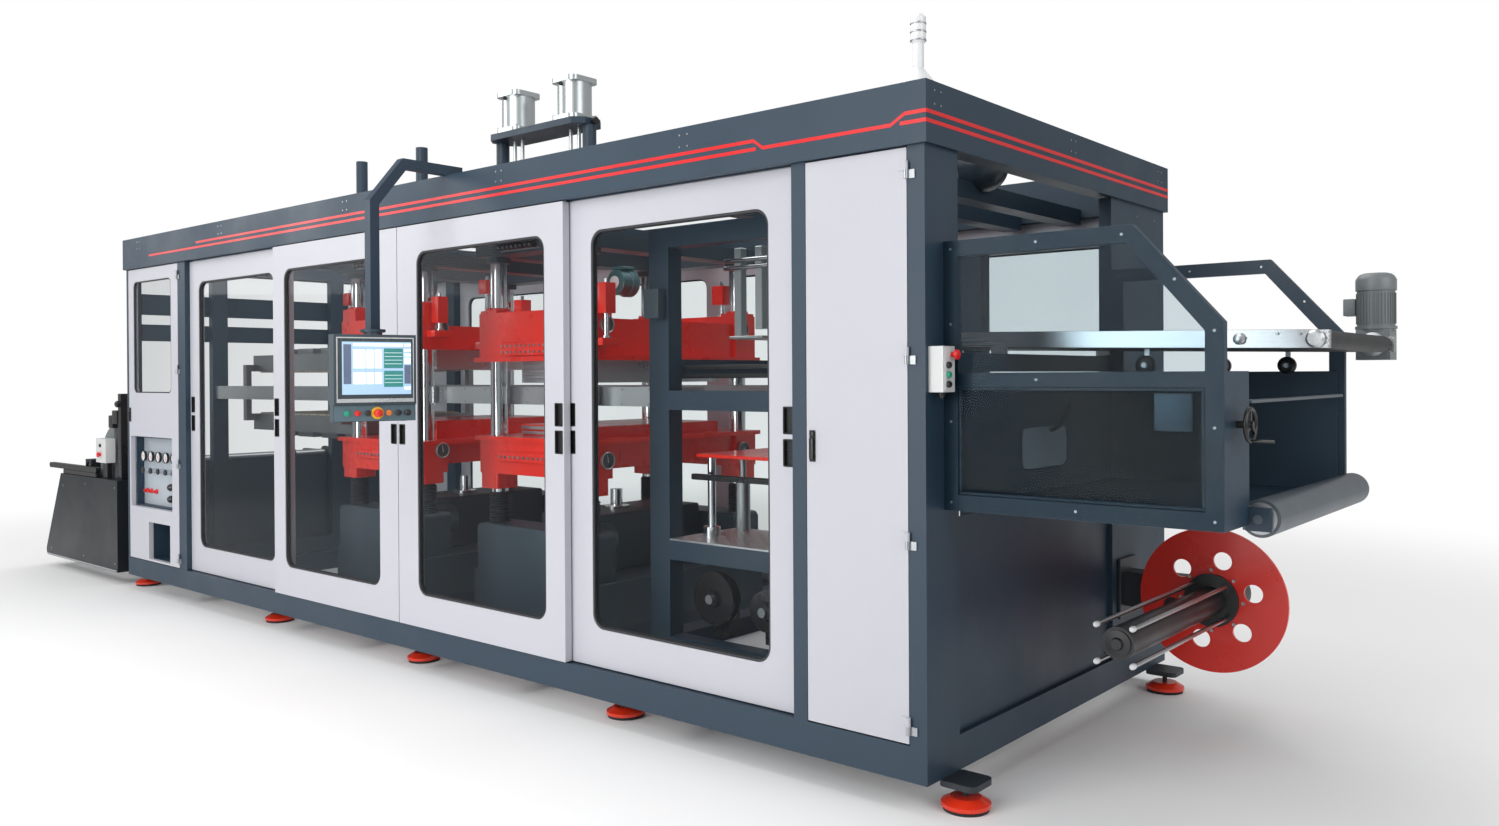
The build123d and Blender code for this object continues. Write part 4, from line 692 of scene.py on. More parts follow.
def glow(name, colour, strength):
    """A lit finish whose colour drifts a little over the panel."""
    material = finish(name, colour, roughness=0.25, drift=0.05, relief=0.0)
    feed(material.node_tree, material.node_tree.nodes["Principled BSDF"],
         {"Emission Color": (*colour, 1), "Emission Strength": strength})
    return material


PICTURE = (  # name, colour, brightness, tiles
    ("ground", (0.30, 0.44, 0.60), 0.75, [tile(0, 1, 0, 1, 0.0015)]),
    ("tables", (0.86, 0.90, 0.95), 0.85,
     [tile(u0, u1, v0, v1) for u0, u1 in ((0.16, 0.33), (0.35, 0.45), (0.47, 0.57))
      for v0, v1 in ((0.15, 0.50), (0.58, 0.80))]
     + [tile(0.90, 0.995, v, v + 0.05) for v in (0.03, 0.13, 0.22, 0.30, 0.36, 0.86)]
     + [tile(0.16, 0.88, 0.03, 0.08)]),
    ("lists", (0.03, 0.20, 0.19), 0.5, [tile(0.60, 0.88, 0.12, 0.50), tile(0.60, 0.88, 0.55, 0.86)]),
    ("rules", (0.45, 0.62, 0.60), 0.6,
     [tile(0.61, 0.87, v, v + 0.012, 0.0030) for v in (0.20, 0.27, 0.34, 0.41, 0.63, 0.70, 0.77)]
     + [tile(u0, u1, 0.045, 0.06, 0.0030) for u0, u1 in ((0.30, 0.42), (0.50, 0.72))]),
    ("side", (0.10, 0.13, 0.20), 0.4, [tile(0.90, 0.995, 0.44, 0.80), tile(0.02, 0.13, 0.05, 0.80, 0.0020)]),
)

BUTTONS = (  # colour name, colour, (place along the strip, radius, height) of each button
    ("green", (0.02, 0.33, 0.20), ((-0.135, 0.014, 0.012),)),
    ("red", (0.70, 0.02, 0.012), ((-0.085, 0.014, 0.012), (0.010, 0.019, 0.042))),
    ("yellow", (0.85, 0.50, 0.01), ((0.010, 0.030, 0.006),)),
    ("amber", (0.85, 0.22, 0.03), ((0.065, 0.014, 0.012),)),
    ("black", (0.02, 0.02, 0.022), ((-0.038, 0.014, 0.016), (0.110, 0.014, 0.018), (0.155, 0.015, 0.020))),
)


def control_screen():
    x0, x1, z0, z1, rim = -HALF_W + 0.012, HALF_W - 0.012, 0.014, SCREEN_H - 0.012, 0.005
    frame_bars = [face_tile(*spot, 0.0005, 0.0025, 0.001) for spot in (
        (x0, x1, z0, z0 + rim), (x0, x1, z1 - rim, z1),
        (x0, x0 + rim, z0 + rim, z1 - rim), (x1 - rim, x1, z0 + rim, z1 - rim))]
    place("screen_trim", "screen", "tool_aluminium",
          frame_bars + [face_tile(x0, x1, SCREEN_H - 0.030, z1, 0.0005, 0.003)])
    bezel = finish("screen bezel", (0.035, 0.050, 0.060), roughness=0.3, drift=0.1, relief=0.1)
    place("screen_bezel", "screen", "wheel_black",
          [face_tile(-HALF_W + 0.019, HALF_W - 0.019, 0.021, SCREEN_H - 0.033, 0.0003, 0.0012)], bezel)
    for name, colour, strength, tiles in PICTURE:
        place(f"screen_{name}", "screen", "screen_paint", tiles, glow(f"screen {name}", colour, strength))


def screen_buttons():
    strip = [on_screen(x, z, 0.0, STRIP_D) for x, z in
             rounded(-HALF_W + 0.003, HALF_W - 0.003, SCREEN_H + 0.003, SCREEN_H + STRIP_H - 0.003, 0.003, 3)]
    strip_coat = finish("button strip coat", (0.10, 0.16, 0.19), roughness=0.4, drift=0.06)
    place("screen_button_plate", "screen", "cabinet_paint",
          [plate(strip, on_screen(0, 0, 0.0015) - on_screen(0, 0, 0))], strip_coat)
    for name, colour, buttons in BUTTONS:
        caps = []
        for x, radius, tall in buttons:
            out = on_screen(x, 0, 1.0) - on_screen(x, 0, 0.0)
            caps.append(domed(on_screen(x, SCREEN_H + STRIP_H * 0.5, 0.0, STRIP_D), out, radius, tall * 0.8,
                              radius * 0.6 + 0.001, tall, 24))
        place(f"screen_button_{name}", "screen", "wheel_black", caps,
              finish(f"{name} button", colour, roughness=0.28, drift=0.05, relief=0.02))


control_screen()
screen_buttons()

# %% [markdown]
# ## Openings and latches
# The gauge opening and the small fitting opening are lined with slate sheet, and a supply fitting
# stands in the small one. Both hinged doors have a swing-handle latch.

# %% Openings and latches
FITTING = (-2.860, 0.345)
LATCHES = (("left", -3.412, 1.255, 1.360), ("right", 2.965, 1.240, 1.360))


def openings_lining():
    face = body_low.y
    x0, x1 = mid(-3.112, 0, 0).x, mid(-2.728, 0, 0).x
    place("opening_linings", "machine", "slate_paint", [
        gasket(mid(-3.404, 0, 0).x, mid(-2.701, 0, 0).x, 0.631, 1.149, 0.006, 0.010,
               face + 0.0385, face + 0.086),
        gasket(x0, x1, 0.248, 0.542, 0.010, 0.012, face + 0.0345, face + 0.170),
        block((x0, face + 0.1705, 0.248), (x1, face + 0.175, 0.542), 0.001)])
    x, z = mid(FITTING[0], 0, 0).x, FITTING[1]
    place("supply_fitting", "machine", "hinge_steel", [
        turned((x, face + 0.170, z), FRONT, [
            (0, 0), (0.045, 0), (0.045, 0.012), (0.024, 0.018), (0.024, 0.060), (0.036, 0.062), (0.036, 0.085),
            (0.016, 0.090), (0, 0.090)], 24),
        turned((x, face + 0.130, z + 0.027), UP, [
            (0, 0), (0.018, 0), (0.018, 0.045), (0.026, 0.047), (0.026, 0.062), (0, 0.062)], 8)])


def latches():
    face = body_low.y
    for name, x, z0, z1 in LATCHES:
        x = mid(x, 0, 0).x
        place(f"{name}_latch", f"{name}_service_door", "wheel_black", [
            block((x - 0.014, face - 0.0045, z0), (x + 0.014, face - 0.0003, z1), 0.0015),
            block((x - 0.009, face - 0.0140, z0 + 0.008), (x + 0.009, face - 0.0047, z1 - 0.030), 0.004, 2),
            domed((x, face - 0.0047, z1 - 0.014), FRONT, 0.010, 0.005, 0.004, 0.006, 18)])


openings_lining()
latches()

# %% [markdown]
# ## Gauge board
# Behind the opening in the service door are five dial gauges in a row, a knob under each, and a
# cluster of four more. A dial is a pale disc in a black rim with a thin pointer, and no figures.

# %% Gauges
def dial(centre, out, radius, swing):
    """The stepped rim, the face and the pointer of one dial gauge, turned to the angle swing."""
    centre, out = Vector(centre), Vector(out)
    deep = radius * 0.45
    rim = turned(centre, out, [(0, 0), (radius * 0.86, 0), (radius, deep * 0.3), (radius, deep),
                               (radius * 0.93, deep * 1.15), (radius * 0.86, deep),
                               (radius * 0.86, deep * 0.75), (0, deep * 0.75)], 28)
    face = disc(centre + out * deep * 0.78, out, radius * 0.85, 0.0008, 24)
    across = out.orthogonal().normalized()
    ray = cos(swing) * across + sin(swing) * out.cross(across)
    wide = out.cross(ray) * radius * 0.05
    tip = centre + out * deep * 0.86
    tail, point = tip - ray * radius * 0.25, tip + ray * radius * 0.7
    return rim, face, plate([tail - wide, point - wide * 0.3, point + wide * 0.3, tail + wide], out * 0.0012)


def gauge_board():
    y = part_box("regulator_board")[1].y - 0.0085
    x0, x1 = mid(-3.405, 0, 0).x, mid(-2.700, 0, 0).x
    columns = [(i, x0 + (x1 - x0) / 5.5 * (0.75 + i)) for i in range(5)]
    rims, faces, pointers = zip(*[
        dial((x, y - 0.026, 1.000), FRONT, 0.040, 2.4 - 0.5 * i) for i, x in columns])
    knobs = [domed((x, y - 0.0405, 0.895), FRONT, 0.023, 0.006, 0.018, 0.010, 18) for i, x in columns]
    knobs += [domed((x1 - 0.215 + 0.11 * i, y, 0.70 + 0.085 * j), FRONT, 0.026, 0.018, 0.014, 0.032, 16)
              for j in (0, 1) for i in (0, 1)]
    place("gauge_rims", "machine", "wheel_black", rims)
    place("gauge_faces", "machine", "board_paint", faces, dial_white)
    place("gauge_pointers", "machine", "disc_red", pointers, stripe_red)
    place("gauge_knobs", "machine", "wheel_black", knobs)
    valves = [turned((MIDDLE.x + x, y, 0.74), FRONT, [(0, 0), (0.018, 0), (0.018, 0.010), (0.011, 0.016),
                                                      (0.011, 0.030), (0, 0.030)], 16)
              for x in (-3.33, -3.26, -3.17)]
    place("gauge_valves", "machine", "disc_red", valves, stripe_red)


gauge_board()

# %% [markdown]
# ## Press details
# Each press shows dial gauges on the delivery side of its platens, red cylinders on polished rods
# over the upper platen, black boots over the lower columns and bars on tool and table. What is
# fixed to a platen rides on it.

# %% Presses
PRESSES = (  # middle, underside and top of the upper platen, underside of the lower one, top of the bosses
    (-0.788, 1.741, 1.939, 0.990, 2.016),
    (0.692, 1.657, 1.930, 1.030, 1.945),
)
PRESS_X = [press[0] for press in PRESSES]
COLUMNS = [(dx, y) for dx in (-0.38, 0.38) for y in (-0.6, 0.6)]
COLUMN_BORE = 0.0485
LOWER_DIAL_Z, UPPER_DIAL_Z = 1.127, (1.875, 1.845)
dial_dark = finish("dark dial face", (0.10, 0.105, 0.10), roughness=0.3, drift=0.3, cloud=20.0, relief=0.05)


def press_gauges():
    for number, x in enumerate(PRESS_X, 1):
        for part, z in (("upper", UPPER_DIAL_Z[number - 1]), ("lower", LOWER_DIAL_Z)):
            rims, faces, pointers = zip(*[dial(mid(x + 0.4552, side * 0.548, z), RIGHT, 0.047, 2.0 + side)
                                          for side in (-1, 1)])
            body = f"press_{number}_{part}"
            place(f"{body}_dial_rims", body, "rod_steel", rims, zinc)
            place(f"{body}_dial_faces", body, "board_paint", faces, dial_dark)
            place(f"{body}_dial_pointers", body, "board_paint", pointers, dial_white)


def press_boots():
    fold = ((0.062, 0.004), (0.054, 0.011))
    folds = [(radius, rise + i * 0.014) for i in range(12) for radius, rise in fold]
    profile = [(COLUMN_BORE, 0.0)] + folds + [(COLUMN_BORE, 0.174), (COLUMN_BORE, 0.0)]
    boots = [turned(mid(x + dx, y, 0.7465), UP, profile, 24) for x in PRESS_X for dx, y in COLUMNS]
    place("column_boots", "machine", "foot_rubber", boots, seal_rubber)


def top_cylinders():
    """Red cylinder blocks with polished rods that stand on the upper platens."""
    for number, (x, _, top, _, _) in enumerate(PRESSES, 1):
        body = f"press_{number}_upper"
        red, rods = [], []
        for dx, y in ((0.26, -0.60), (0.26, 0.60), (-0.20, 0.60)):
            foot = mid(x + dx, y, top + 0.001)
            rods.append(turned(foot, UP, [(0, 0), (0.030, 0), (0.030, 0.012), (0.018, 0.014), (0.018, 0.075),
                                          (0, 0.075)], 20))
            red.append(block(foot + Vector((-0.045, -0.045, 0.075)), foot + Vector((0.045, 0.045, 0.190)),
                             0.006, 2))
            rods.append(disc(foot + Vector((0, 0, 0.190)), UP, 0.012, 0.030, 16))
        place(f"{body}_cylinder_blocks", body, "press_red", red)
        place(f"{body}_cylinder_rods", body, "column_chrome", rods)


def tool_plates():
    """Bars under the upper platens and on the lower tables."""
    for number, (x, under, _, _, _) in enumerate(PRESSES, 1):
        bars = [block(mid(x - 0.30, side * 0.485, z), mid(x + 0.30, side * 0.497, z + 0.020), 0.002)
                for side in (-1, 1) for z in (under - 0.034, under - 0.064, under - 0.098)]
        place(f"press_{number}_tool_bars", f"press_{number}_upper", "tool_aluminium", bars)
        bars = [block(mid(x - 0.31, side * 0.485, z0), mid(x + 0.31, side * 0.499, z1), 0.002)
                for side in (-1, 1) for z0, z1 in ((1.245, 1.262), (1.272, 1.292))]
        place(f"press_{number}_table_bars", f"press_{number}_lower", "tool_aluminium", bars)


press_gauges()
press_boots()
top_cylinders()
tool_plates()

# %% [markdown]
# ## Chain rails
# The rails that carry the film edges have the rollers of the gripper chain in their slot and
# screws along their cover. One roller every 25 mm along both rails is work for Geometry Nodes.

# %% Chain
CHAIN_PITCH = 0.0254


def chain_rails():
    low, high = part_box("film_rails")
    x0, x1 = low.x + 0.05, high.x - 0.05
    rollers = [((x0 + i * CHAIN_PITCH, MIDDLE.y + side * 0.505, 1.465), UP)
               for side in (-1, 1) for i in range(int((x1 - x0) / CHAIN_PITCH))]
    set_heads("chain_rollers", "machine", rollers, 0.0075, 0.012, 10)
    screws = [((x0 + 0.1 + i * (x1 - x0 - 0.2) / 25, MIDDLE.y + side * 0.540, z), aim)
              for side, aim in ((-1, FRONT), (1, BACK)) for i in range(26) for z in (1.428, 1.502)]
    set_heads("rail_screws", "machine", screws, 0.006, 0.005)


chain_rails()

# %% [markdown]
# ## Tread plate
# The deck strips have the raised lozenges of tread plate, in rows that point two ways in turn.
# Each lozenge is a low pointed bar, kept as real relief because it catches the light at a low
# angle.

# %% Tread plate
LOZENGE_PITCH, LOZENGE_HEIGHT = 0.042, 0.0022


def lozenge(x, y, z, slant):
    """One raised lozenge: a wide foot and a smaller top."""
    along = Vector((cos(slant), sin(slant), 0)) * 0.016
    across = Vector((-sin(slant), cos(slant), 0)) * 0.0045

    def draw(bm):
        centre = Vector((x, y, z))
        points = (-along, -across, along, across)
        foot = [bm.verts.new(centre + p) for p in points]
        top = [bm.verts.new(centre + p * 0.55 + Vector((0, 0, LOZENGE_HEIGHT))) for p in points]
        bm.faces.new(top)
        for k in range(4):
            bm.faces.new([foot[k], foot[(k + 1) % 4], top[(k + 1) % 4], top[k]])
    return draw


def tread_lozenges():
    low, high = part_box("stack_deck")
    near, far = low.y + 0.02, low.y + 0.475
    forms = []
    for mirrored in (False, True):
        for i in range(int((high.x - low.x - 0.04) / LOZENGE_PITCH)):
            for j in range(int((far - near) / LOZENGE_PITCH)):
                x, y = low.x + 0.035 + i * LOZENGE_PITCH, near + 0.02 + j * LOZENGE_PITCH
                forms.append(lozenge(x, low.y + high.y - y if mirrored else y, high.z,
                                     radians(45) if (i + j) % 2 else radians(-45)))
    place("tread_lozenges", "machine", "tread_aluminium", forms)


tread_lozenges()

# %% [markdown]
# ## Guard over the delivery end
# The guard's members are bolted through every joint and its lower panes are held by thin strips.
# Near the roller there is a shaped clear cover. Dark sheets line the tray, with a pale hatch.

# %% Guard details
GUARD_NEAR_Y, GUARD_FAR_Y = -1.010, 0.500
BOLTS = ((0.03, 2.02), (0.36, 2.02), (0.66, 2.02), (0.83, 1.865), (0.951, 1.70), (0.951, 1.40),
         (0.951, 1.11), (0.50, 1.11), (0.03, 1.11), (0.03, 1.40), (0.03, 1.75), (0.36, 1.55))
ROLLER = mid(4.475, 0, 1.100)
CRANK_X, CRANK_Z = 4.277, 1.445
dark_sheet = glazing("dark tinted polycarbonate", (0.60, 0.66, 0.70), (0.02, 0.03, 0.04))


def guard_details():
    faces = ((FRONT, GUARD_NEAR_Y - 0.015), (FRONT, GUARD_FAR_Y - 0.015), (BACK, GUARD_FAR_Y + 0.015))
    screws = [(mid(END_X + x, y, z), aim) for aim, y in faces for x, z in BOLTS]
    set_heads("guard_screws", "machine", screws, 0.0052, 0.004)
    strips = [block(mid(END_X + x0, y - 0.012, z0), mid(END_X + x1, y - 0.003, z1), 0.001)
              for y in (GUARD_NEAR_Y, GUARD_FAR_Y) for x0, x1, z0, z1 in (
                  (0.060, 0.920, 1.140, 1.150), (0.060, 0.920, 1.513, 1.523),
                  (0.060, 0.070, 1.152, 1.511), (0.910, 0.920, 1.152, 1.511))]
    place("guard_strips", "machine", "slate_paint", strips)
    pane = block(mid(END_X + 0.061, GUARD_NEAR_Y + 0.0045, 1.141),
                 mid(END_X + 0.919, GUARD_NEAR_Y + 0.0075, 1.522), 0.0008)
    place("guard_dark_panes", "machine", "tinted_glazing", [pane], dark_sheet)
    outline = ((0.905, 1.365), (0.980, 1.365), (0.980, 1.255), (0.945, 1.225), (0.905, 1.225))
    place("roller_cover", "machine", "clear_glazing",
          [plate([mid(END_X + x, GUARD_NEAR_Y - 0.0155, z) for x, z in outline], (0, -0.004, 0))])
    lips = [block(mid(END_X + x0, y0, z0), mid(END_X + x1, y1, z1), 0.002) for x0, x1, y0, y1, z0, z1 in (
        (0.960, 0.978, GUARD_NEAR_Y + 0.27, GUARD_FAR_Y - 0.03, 1.082, 1.094),
        (0.960, 0.978, GUARD_NEAR_Y + 0.27, GUARD_FAR_Y - 0.03, 1.470, 1.482),
        (0.955, 0.979, GUARD_NEAR_Y + 0.24, GUARD_FAR_Y - 0.02, 1.060, 1.075))]
    place("tray_lip", "machine", "roller_grey", lips)


def roller_ends():
    """Bearing discs at both ends of the guide roller."""
    profile = [(0.020, 0), (0.052, 0), (0.052, 0.004), (0.030, 0.007), (0.020, 0.007), (0.020, 0)]
    caps = [turned((ROLLER.x, MIDDLE.y + y, ROLLER.z), aim, profile)
            for y, aim in ((-0.765, FRONT), (0.470, BACK))]
    place("roller_caps", "guide_roller", "rod_steel", caps, zinc)


def tray_inside():
    """Dark sheets behind and beside the tray, a pale hatch, a lever and the crank's bearing."""
    place("tray_walls", "machine", "slate_paint", [
        block(mid(END_X + 0.0005, -0.994, 1.0885), mid(END_X + 0.0035, 0.484, 1.5245), 0.0005),
        block(mid(END_X + 0.060, 0.474, 1.0885), mid(END_X + 0.955, 0.484, 1.5745), 0.0005)])
    hatch = rounded(-0.42, -0.02, 1.185, 1.350, 0.035)
    place("tray_hatch", "machine", "beacon_plastic",
          [plate([mid(END_X + 0.004, y, z) for y, z in hatch], (0.004, 0, 0))])
    bends = ((0.012, -0.18, 1.335), (0.05, -0.19, 1.35), (0.07, -0.16, 1.40), (0.075, -0.12, 1.44))
    place("tray_lever", "machine", "wheel_black",
          [tube(smooth_path([mid(END_X + x, y, z) for x, y, z in bends]), 0.009, 10)])
    bearing = [block(mid(CRANK_X - 0.060, -0.9945, CRANK_Z - 0.060),
                     mid(CRANK_X + 0.060, -0.986, CRANK_Z + 0.060), 0.004, 2),
               domed(mid(CRANK_X, -0.986, CRANK_Z), BACK, 0.046, 0.016, 0.026, 0.024)]
    bearing += [disc(mid(CRANK_X + dx, -0.986, CRANK_Z + dz), BACK, 0.008, 0.006, 12)
                for dx in (-0.045, 0.045) for dz in (-0.045, 0.045)]
    place("crank_bearing_plate", "machine", "rod_steel", bearing, zinc)


guard_details()
roller_ends()
tray_inside()

# %% [markdown]
# ## Small control box
# The box at the corner post has three buttons and a red mushroom on its face, and a black cable
# gland underneath.

# %% Control box
green_plastic = finish("green push button", (0.02, 0.30, 0.16), roughness=0.3, drift=0.05, relief=0.02)


def control_box():
    low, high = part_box("end_control_box")
    x, middle = high.x, (low.y + high.y) / 2
    lid = block((x + 0.0003, low.y + 0.006, low.z + 0.006), (x + 0.004, high.y - 0.006, high.z - 0.006),
                0.002, 2)
    place("control_box_lid", "machine", "box_plastic", [lid])
    top, green, bottom = [domed((x + 0.004, middle - 0.014, low.z + z), RIGHT, 0.012, 0.008, 0.009, 0.012, 20)
                          for z in (0.028, 0.062, 0.096)]
    gland = turned((x - 0.030, middle, low.z - 0.022), UP,
                   [(0, 0), (0.010, 0), (0.012, 0.004), (0.012, 0.021), (0, 0.021)], 16)
    mushroom = turned((x + 0.004, middle + 0.014, high.z - 0.030), RIGHT,
                      [(0, 0), (0.009, 0), (0.009, 0.014), (0.018, 0.017), (0.018, 0.024), (0.010, 0.030),
                       (0, 0.031)], 24)
    place("control_box_black", "machine", "wheel_black", [top, bottom, gland])
    place("control_box_red", "machine", "disc_red", [mushroom], stripe_red)
    place("control_box_green", "machine", "cabinet_paint", [green], green_plastic)


control_box()

# %% [markdown]
# ## Conveyor
# The side rails are drawn profiles with grooves, and bosses close the shaft holes. The belt is
# driven by an upright motor with cooling fins and a domed cowl. The fins are one plate repeated
# round the motor's axis.

# %% Conveyor details
TILT = radians(1.3)
CONVEYOR_END = mid(4.590, -0.040, 1.680)
MOTOR = mid(4.544, 0.565, 0)
FINS = 36


def on_conveyor(x, y, z):
    """A point in the conveyor's own frame: x back from the end roller, y across, z up."""
    return CONVEYOR_END + Vector((x * cos(TILT) + z * sin(TILT), y, -x * sin(TILT) + z * cos(TILT)))


def conveyor_details():
    ribs, bosses, screws = [], [], []
    for side, out in ((-1, FRONT), (1, BACK)):
        y = min(side * 0.517, side * 0.5205)
        for z0, z1 in ((-0.028, -0.019), (-0.009, -0.001), (0.006, 0.013), (0.021, 0.029)):
            corners = ((-1.95, z0), (0.038, z0), (0.038, z1), (-1.95, z1))
            ribs.append(plate([on_conveyor(x, y, z) for x, z in corners], (0, 0.0035, 0)))
        screws += [(on_conveyor(x, side * 0.5215, 0.017), out) for x in (-0.12, -0.05, 0.0)]
        bosses.append(domed(on_conveyor(0.0, side * 0.5208, 0), out, 0.030, 0.010, 0.022, 0.016))
        bosses.append(domed(on_conveyor(-0.24, side * 0.5208, 0), out, 0.020, 0.008, 0.012, 0.013, 24))
    place("conveyor_ribs", "machine", "rail_aluminium", ribs)
    place("conveyor_bosses", "machine", "tool_aluminium", bosses)
    set_heads("conveyor_screws", "machine", screws, 0.0055, 0.005)


def idlers():
    """Black idler wheels that hang on pins under the rails."""
    wheels, pins = [], []
    profile = [(0.010, 0), (0.030, 0), (0.036, 0.004), (0.036, 0.020), (0.030, 0.024), (0.010, 0.024),
               (0.010, 0)]
    for x in (3.98, 4.24):
        for y in (-0.455, 0.42):
            wheels.append(turned(mid(x, y, 1.600), BACK, profile))
            pins.append(disc(mid(x, y - 0.006, 1.600), BACK, 0.0095, 0.036, 16))
            pins.append(block(mid(x - 0.010, y + 0.025, 1.588), mid(x + 0.010, y + 0.031, 1.666), 0.002))
    place("idler_wheels", "machine", "wheel_black", wheels)
    place("idler_pins", "machine", "rod_steel", pins, zinc)


def gearmotor_details():
    fins = []
    for i in range(FINS):
        angle = 2 * pi * i / FINS
        ray = Vector((cos(angle), sin(angle), 0))
        side = Vector((-sin(angle), cos(angle), 0)) * 0.0016
        foot = MOTOR + Vector((0, 0, 1.765))
        inner, outer = foot + ray * 0.0685, foot + ray * 0.0725
        fins.append(plate([inner - side, outer - side, outer + side, inner + side], (0, 0, 0.125)))
    fins.append(turned(MOTOR + Vector((0, 0, 1.900)), UP, [
        (0.0695, 0), (0.074, 0), (0.0745, 0.004), (0.0745, 0.045), (0.066, 0.060), (0.045, 0.0715),
        (0, 0.0745), (0, 0.0705)], 36))
    fins.append(ring(MOTOR + Vector((0, 0, 1.744)), UP, 0.0695, 0.076, 0.012, 0.012, 32))
    fins.append(block(MOTOR + Vector((-0.115, -0.035, 1.80)), MOTOR + Vector((-0.0690, 0.035, 1.87)),
                      0.006, 2))
    place("motor_fins", "machine", "motor_grey", fins)
    place("gearbox_flange", "machine", "rod_steel", [
        turned(mid(4.544, 0.5025, 1.682), FRONT, [(0.021, 0), (0.048, 0), (0.048, 0.006), (0.030, 0.012),
                                                  (0.021, 0.012), (0.021, 0)])], zinc)


conveyor_details()
idlers()
gearmotor_details()

# %% [markdown]
# ## Winder
# A cap with a bolt closes the near end of the core, the four rods have pale tips, and the disc is
# held by a bolted hub. All of it turns with the winder. The motor's fins are on the machine.

# %% Winder details
def winder_details():
    axis = mid(3.890, 0, 0.560)

    def at(y, radius=0.0, angle=0.0):
        return Vector((axis.x + radius * cos(angle), MIDDLE.y + y, axis.z + radius * sin(angle)))

    place("core_cap", "winder", "core_black", [
        turned(at(-0.4902), FRONT, [(0, 0), (0.050, 0), (0.050, 0.006), (0.024, 0.008), (0.020, 0.020),
                                    (0, 0.020)])])
    place("winder_hub", "winder", "core_black", [ring(at(0.5585), FRONT, 0.0625, 0.118, 0.010, 0.014, 40)])
    tip = [(0, 0), (0.0105, 0), (0.0115, 0.004), (0.0115, 0.020), (0.008, 0.026), (0, 0.026)]
    place("rod_tips", "winder", "beacon_plastic",
          [turned(at(-0.5105, 0.098, pi / 4 + pi / 2 * i), FRONT, tip, 18) for i in range(4)])
    set_heads("disc_bolts", "winder",
              [(at(0.5565, 0.135, 2 * pi * i / 8), FRONT) for i in range(8)], 0.008, 0.006)
    fins = [ring(at(0.7250), BACK, 0.0855, 0.094, 0.010, 0.012, 32)]
    fins += [ring(at(0.745 + 0.009 * i), BACK, 0.0853, 0.092, 0.003, 0.003, 32) for i in range(9)]
    place("winder_motor_fins", "machine", "motor_grey", fins)
    place("winder_foot_plate", "machine", "bracket_slate",
          [block(mid(3.4655, 0.545, 0.42), mid(3.480, 0.745, 0.70), 0.003)])


winder_details()

# %% [markdown]
# ## Inside the presses
# What shows through the door glass is dense: red guide blocks on polished rods beside the upper
# platens, servo motors with pale hubs under the roof, rows of fittings, collars and nuts on the
# columns, drive housings on the beds and valves on the crosshead. What moves rides on its platen.

# %% Press interior
def guide_blocks():
    """Red blocks on polished rods that stand on lugs at the sides of the upper platens."""
    for number, (x, under, _, _, _) in enumerate(PRESSES, 1):
        body = f"press_{number}_upper"
        red, rods = [], []
        for side, block_low, block_high in ((-1, 2.051, 2.132), (1, 1.900, 2.060)):
            edge = x + side * 0.456
            red.append(block(mid(edge, -0.645, under + 0.075),
                             mid(edge + side * 0.085, -0.525, under + 0.115), 0.006, 2))
            foot = mid(edge + side * 0.048, -0.585, under + 0.1155)
            rise, high = block_low - under - 0.1155, block_high - block_low
            rods.append(turned(foot, UP, [(0, 0), (0.024, 0), (0.024, 0.010), (0.015, 0.012), (0.015, rise),
                                          (0, rise)], 20))
            top = foot + Vector((0, 0, rise))
            red.append(block(top - Vector((0.036, 0.036, 0)), top + Vector((0.036, 0.036, high)), 0.005, 2))
            rods.append(disc(top + Vector((0, 0, high)), UP, 0.010, 0.022, 16))
        place(f"{body}_guide_blocks", body, "press_red", red)
        place(f"{body}_guide_rods", body, "column_chrome", rods)


def servo_motors():
    """Servo motors with pale hubs under the crossheads, each with its bracket."""
    motors, hubs = [], []
    profile = [(0, 0), (0.082, 0), (0.086, 0.006), (0.086, 0.055), (0.078, 0.062), (0.078, 0.130),
               (0.060, 0.138), (0, 0.138)]
    for x, y in ((-0.628, -0.42), (0.852, -0.42), (0.46, 0.30)):
        motors.append(turned(mid(x, y, 2.148), FRONT, profile))
        hubs.append(domed(mid(x, y - 0.138, 2.148), FRONT, 0.040, 0.006, 0.026, 0.012, 24))
        motors.append(block(mid(x - 0.05, y - 0.115, 2.228), mid(x + 0.05, y - 0.015, 2.2475), 0.004))
    place("servo_motors", "machine", "cabinet_paint", motors, servo_teal)
    place("servo_hubs", "machine", "beacon_plastic", hubs)


def side_plate(number, part, x, half, z0, z1, rows, count, radius, height):
    """A red plate with rows of fittings along the operator's side of a platen."""
    body = f"press_{number}_{part}"
    place(f"{body}_plate", body, "press_red",
          [block(mid(x - half, -0.6995, z0), mid(x + half, -0.6785, z1), 0.004)])
    dots = [(mid(x - half + 0.02 + 0.04 * i, -0.7005, z), FRONT) for i in range(count) for z in rows]
    set_heads(f"{body}_fittings", body, dots, radius, height, 12)


def side_plates():
    for number, (x, under, _, table, _) in enumerate(PRESSES, 1):
        side_plate(number, "upper", x, 0.24, under + 0.030, under + 0.105, (under + 0.085, under + 0.050), 12,
                   0.007, 0.010)
        side_plate(number, "lower", x, 0.26, table + 0.070, table + 0.125, (table + 0.098,), 13, 0.008, 0.012)


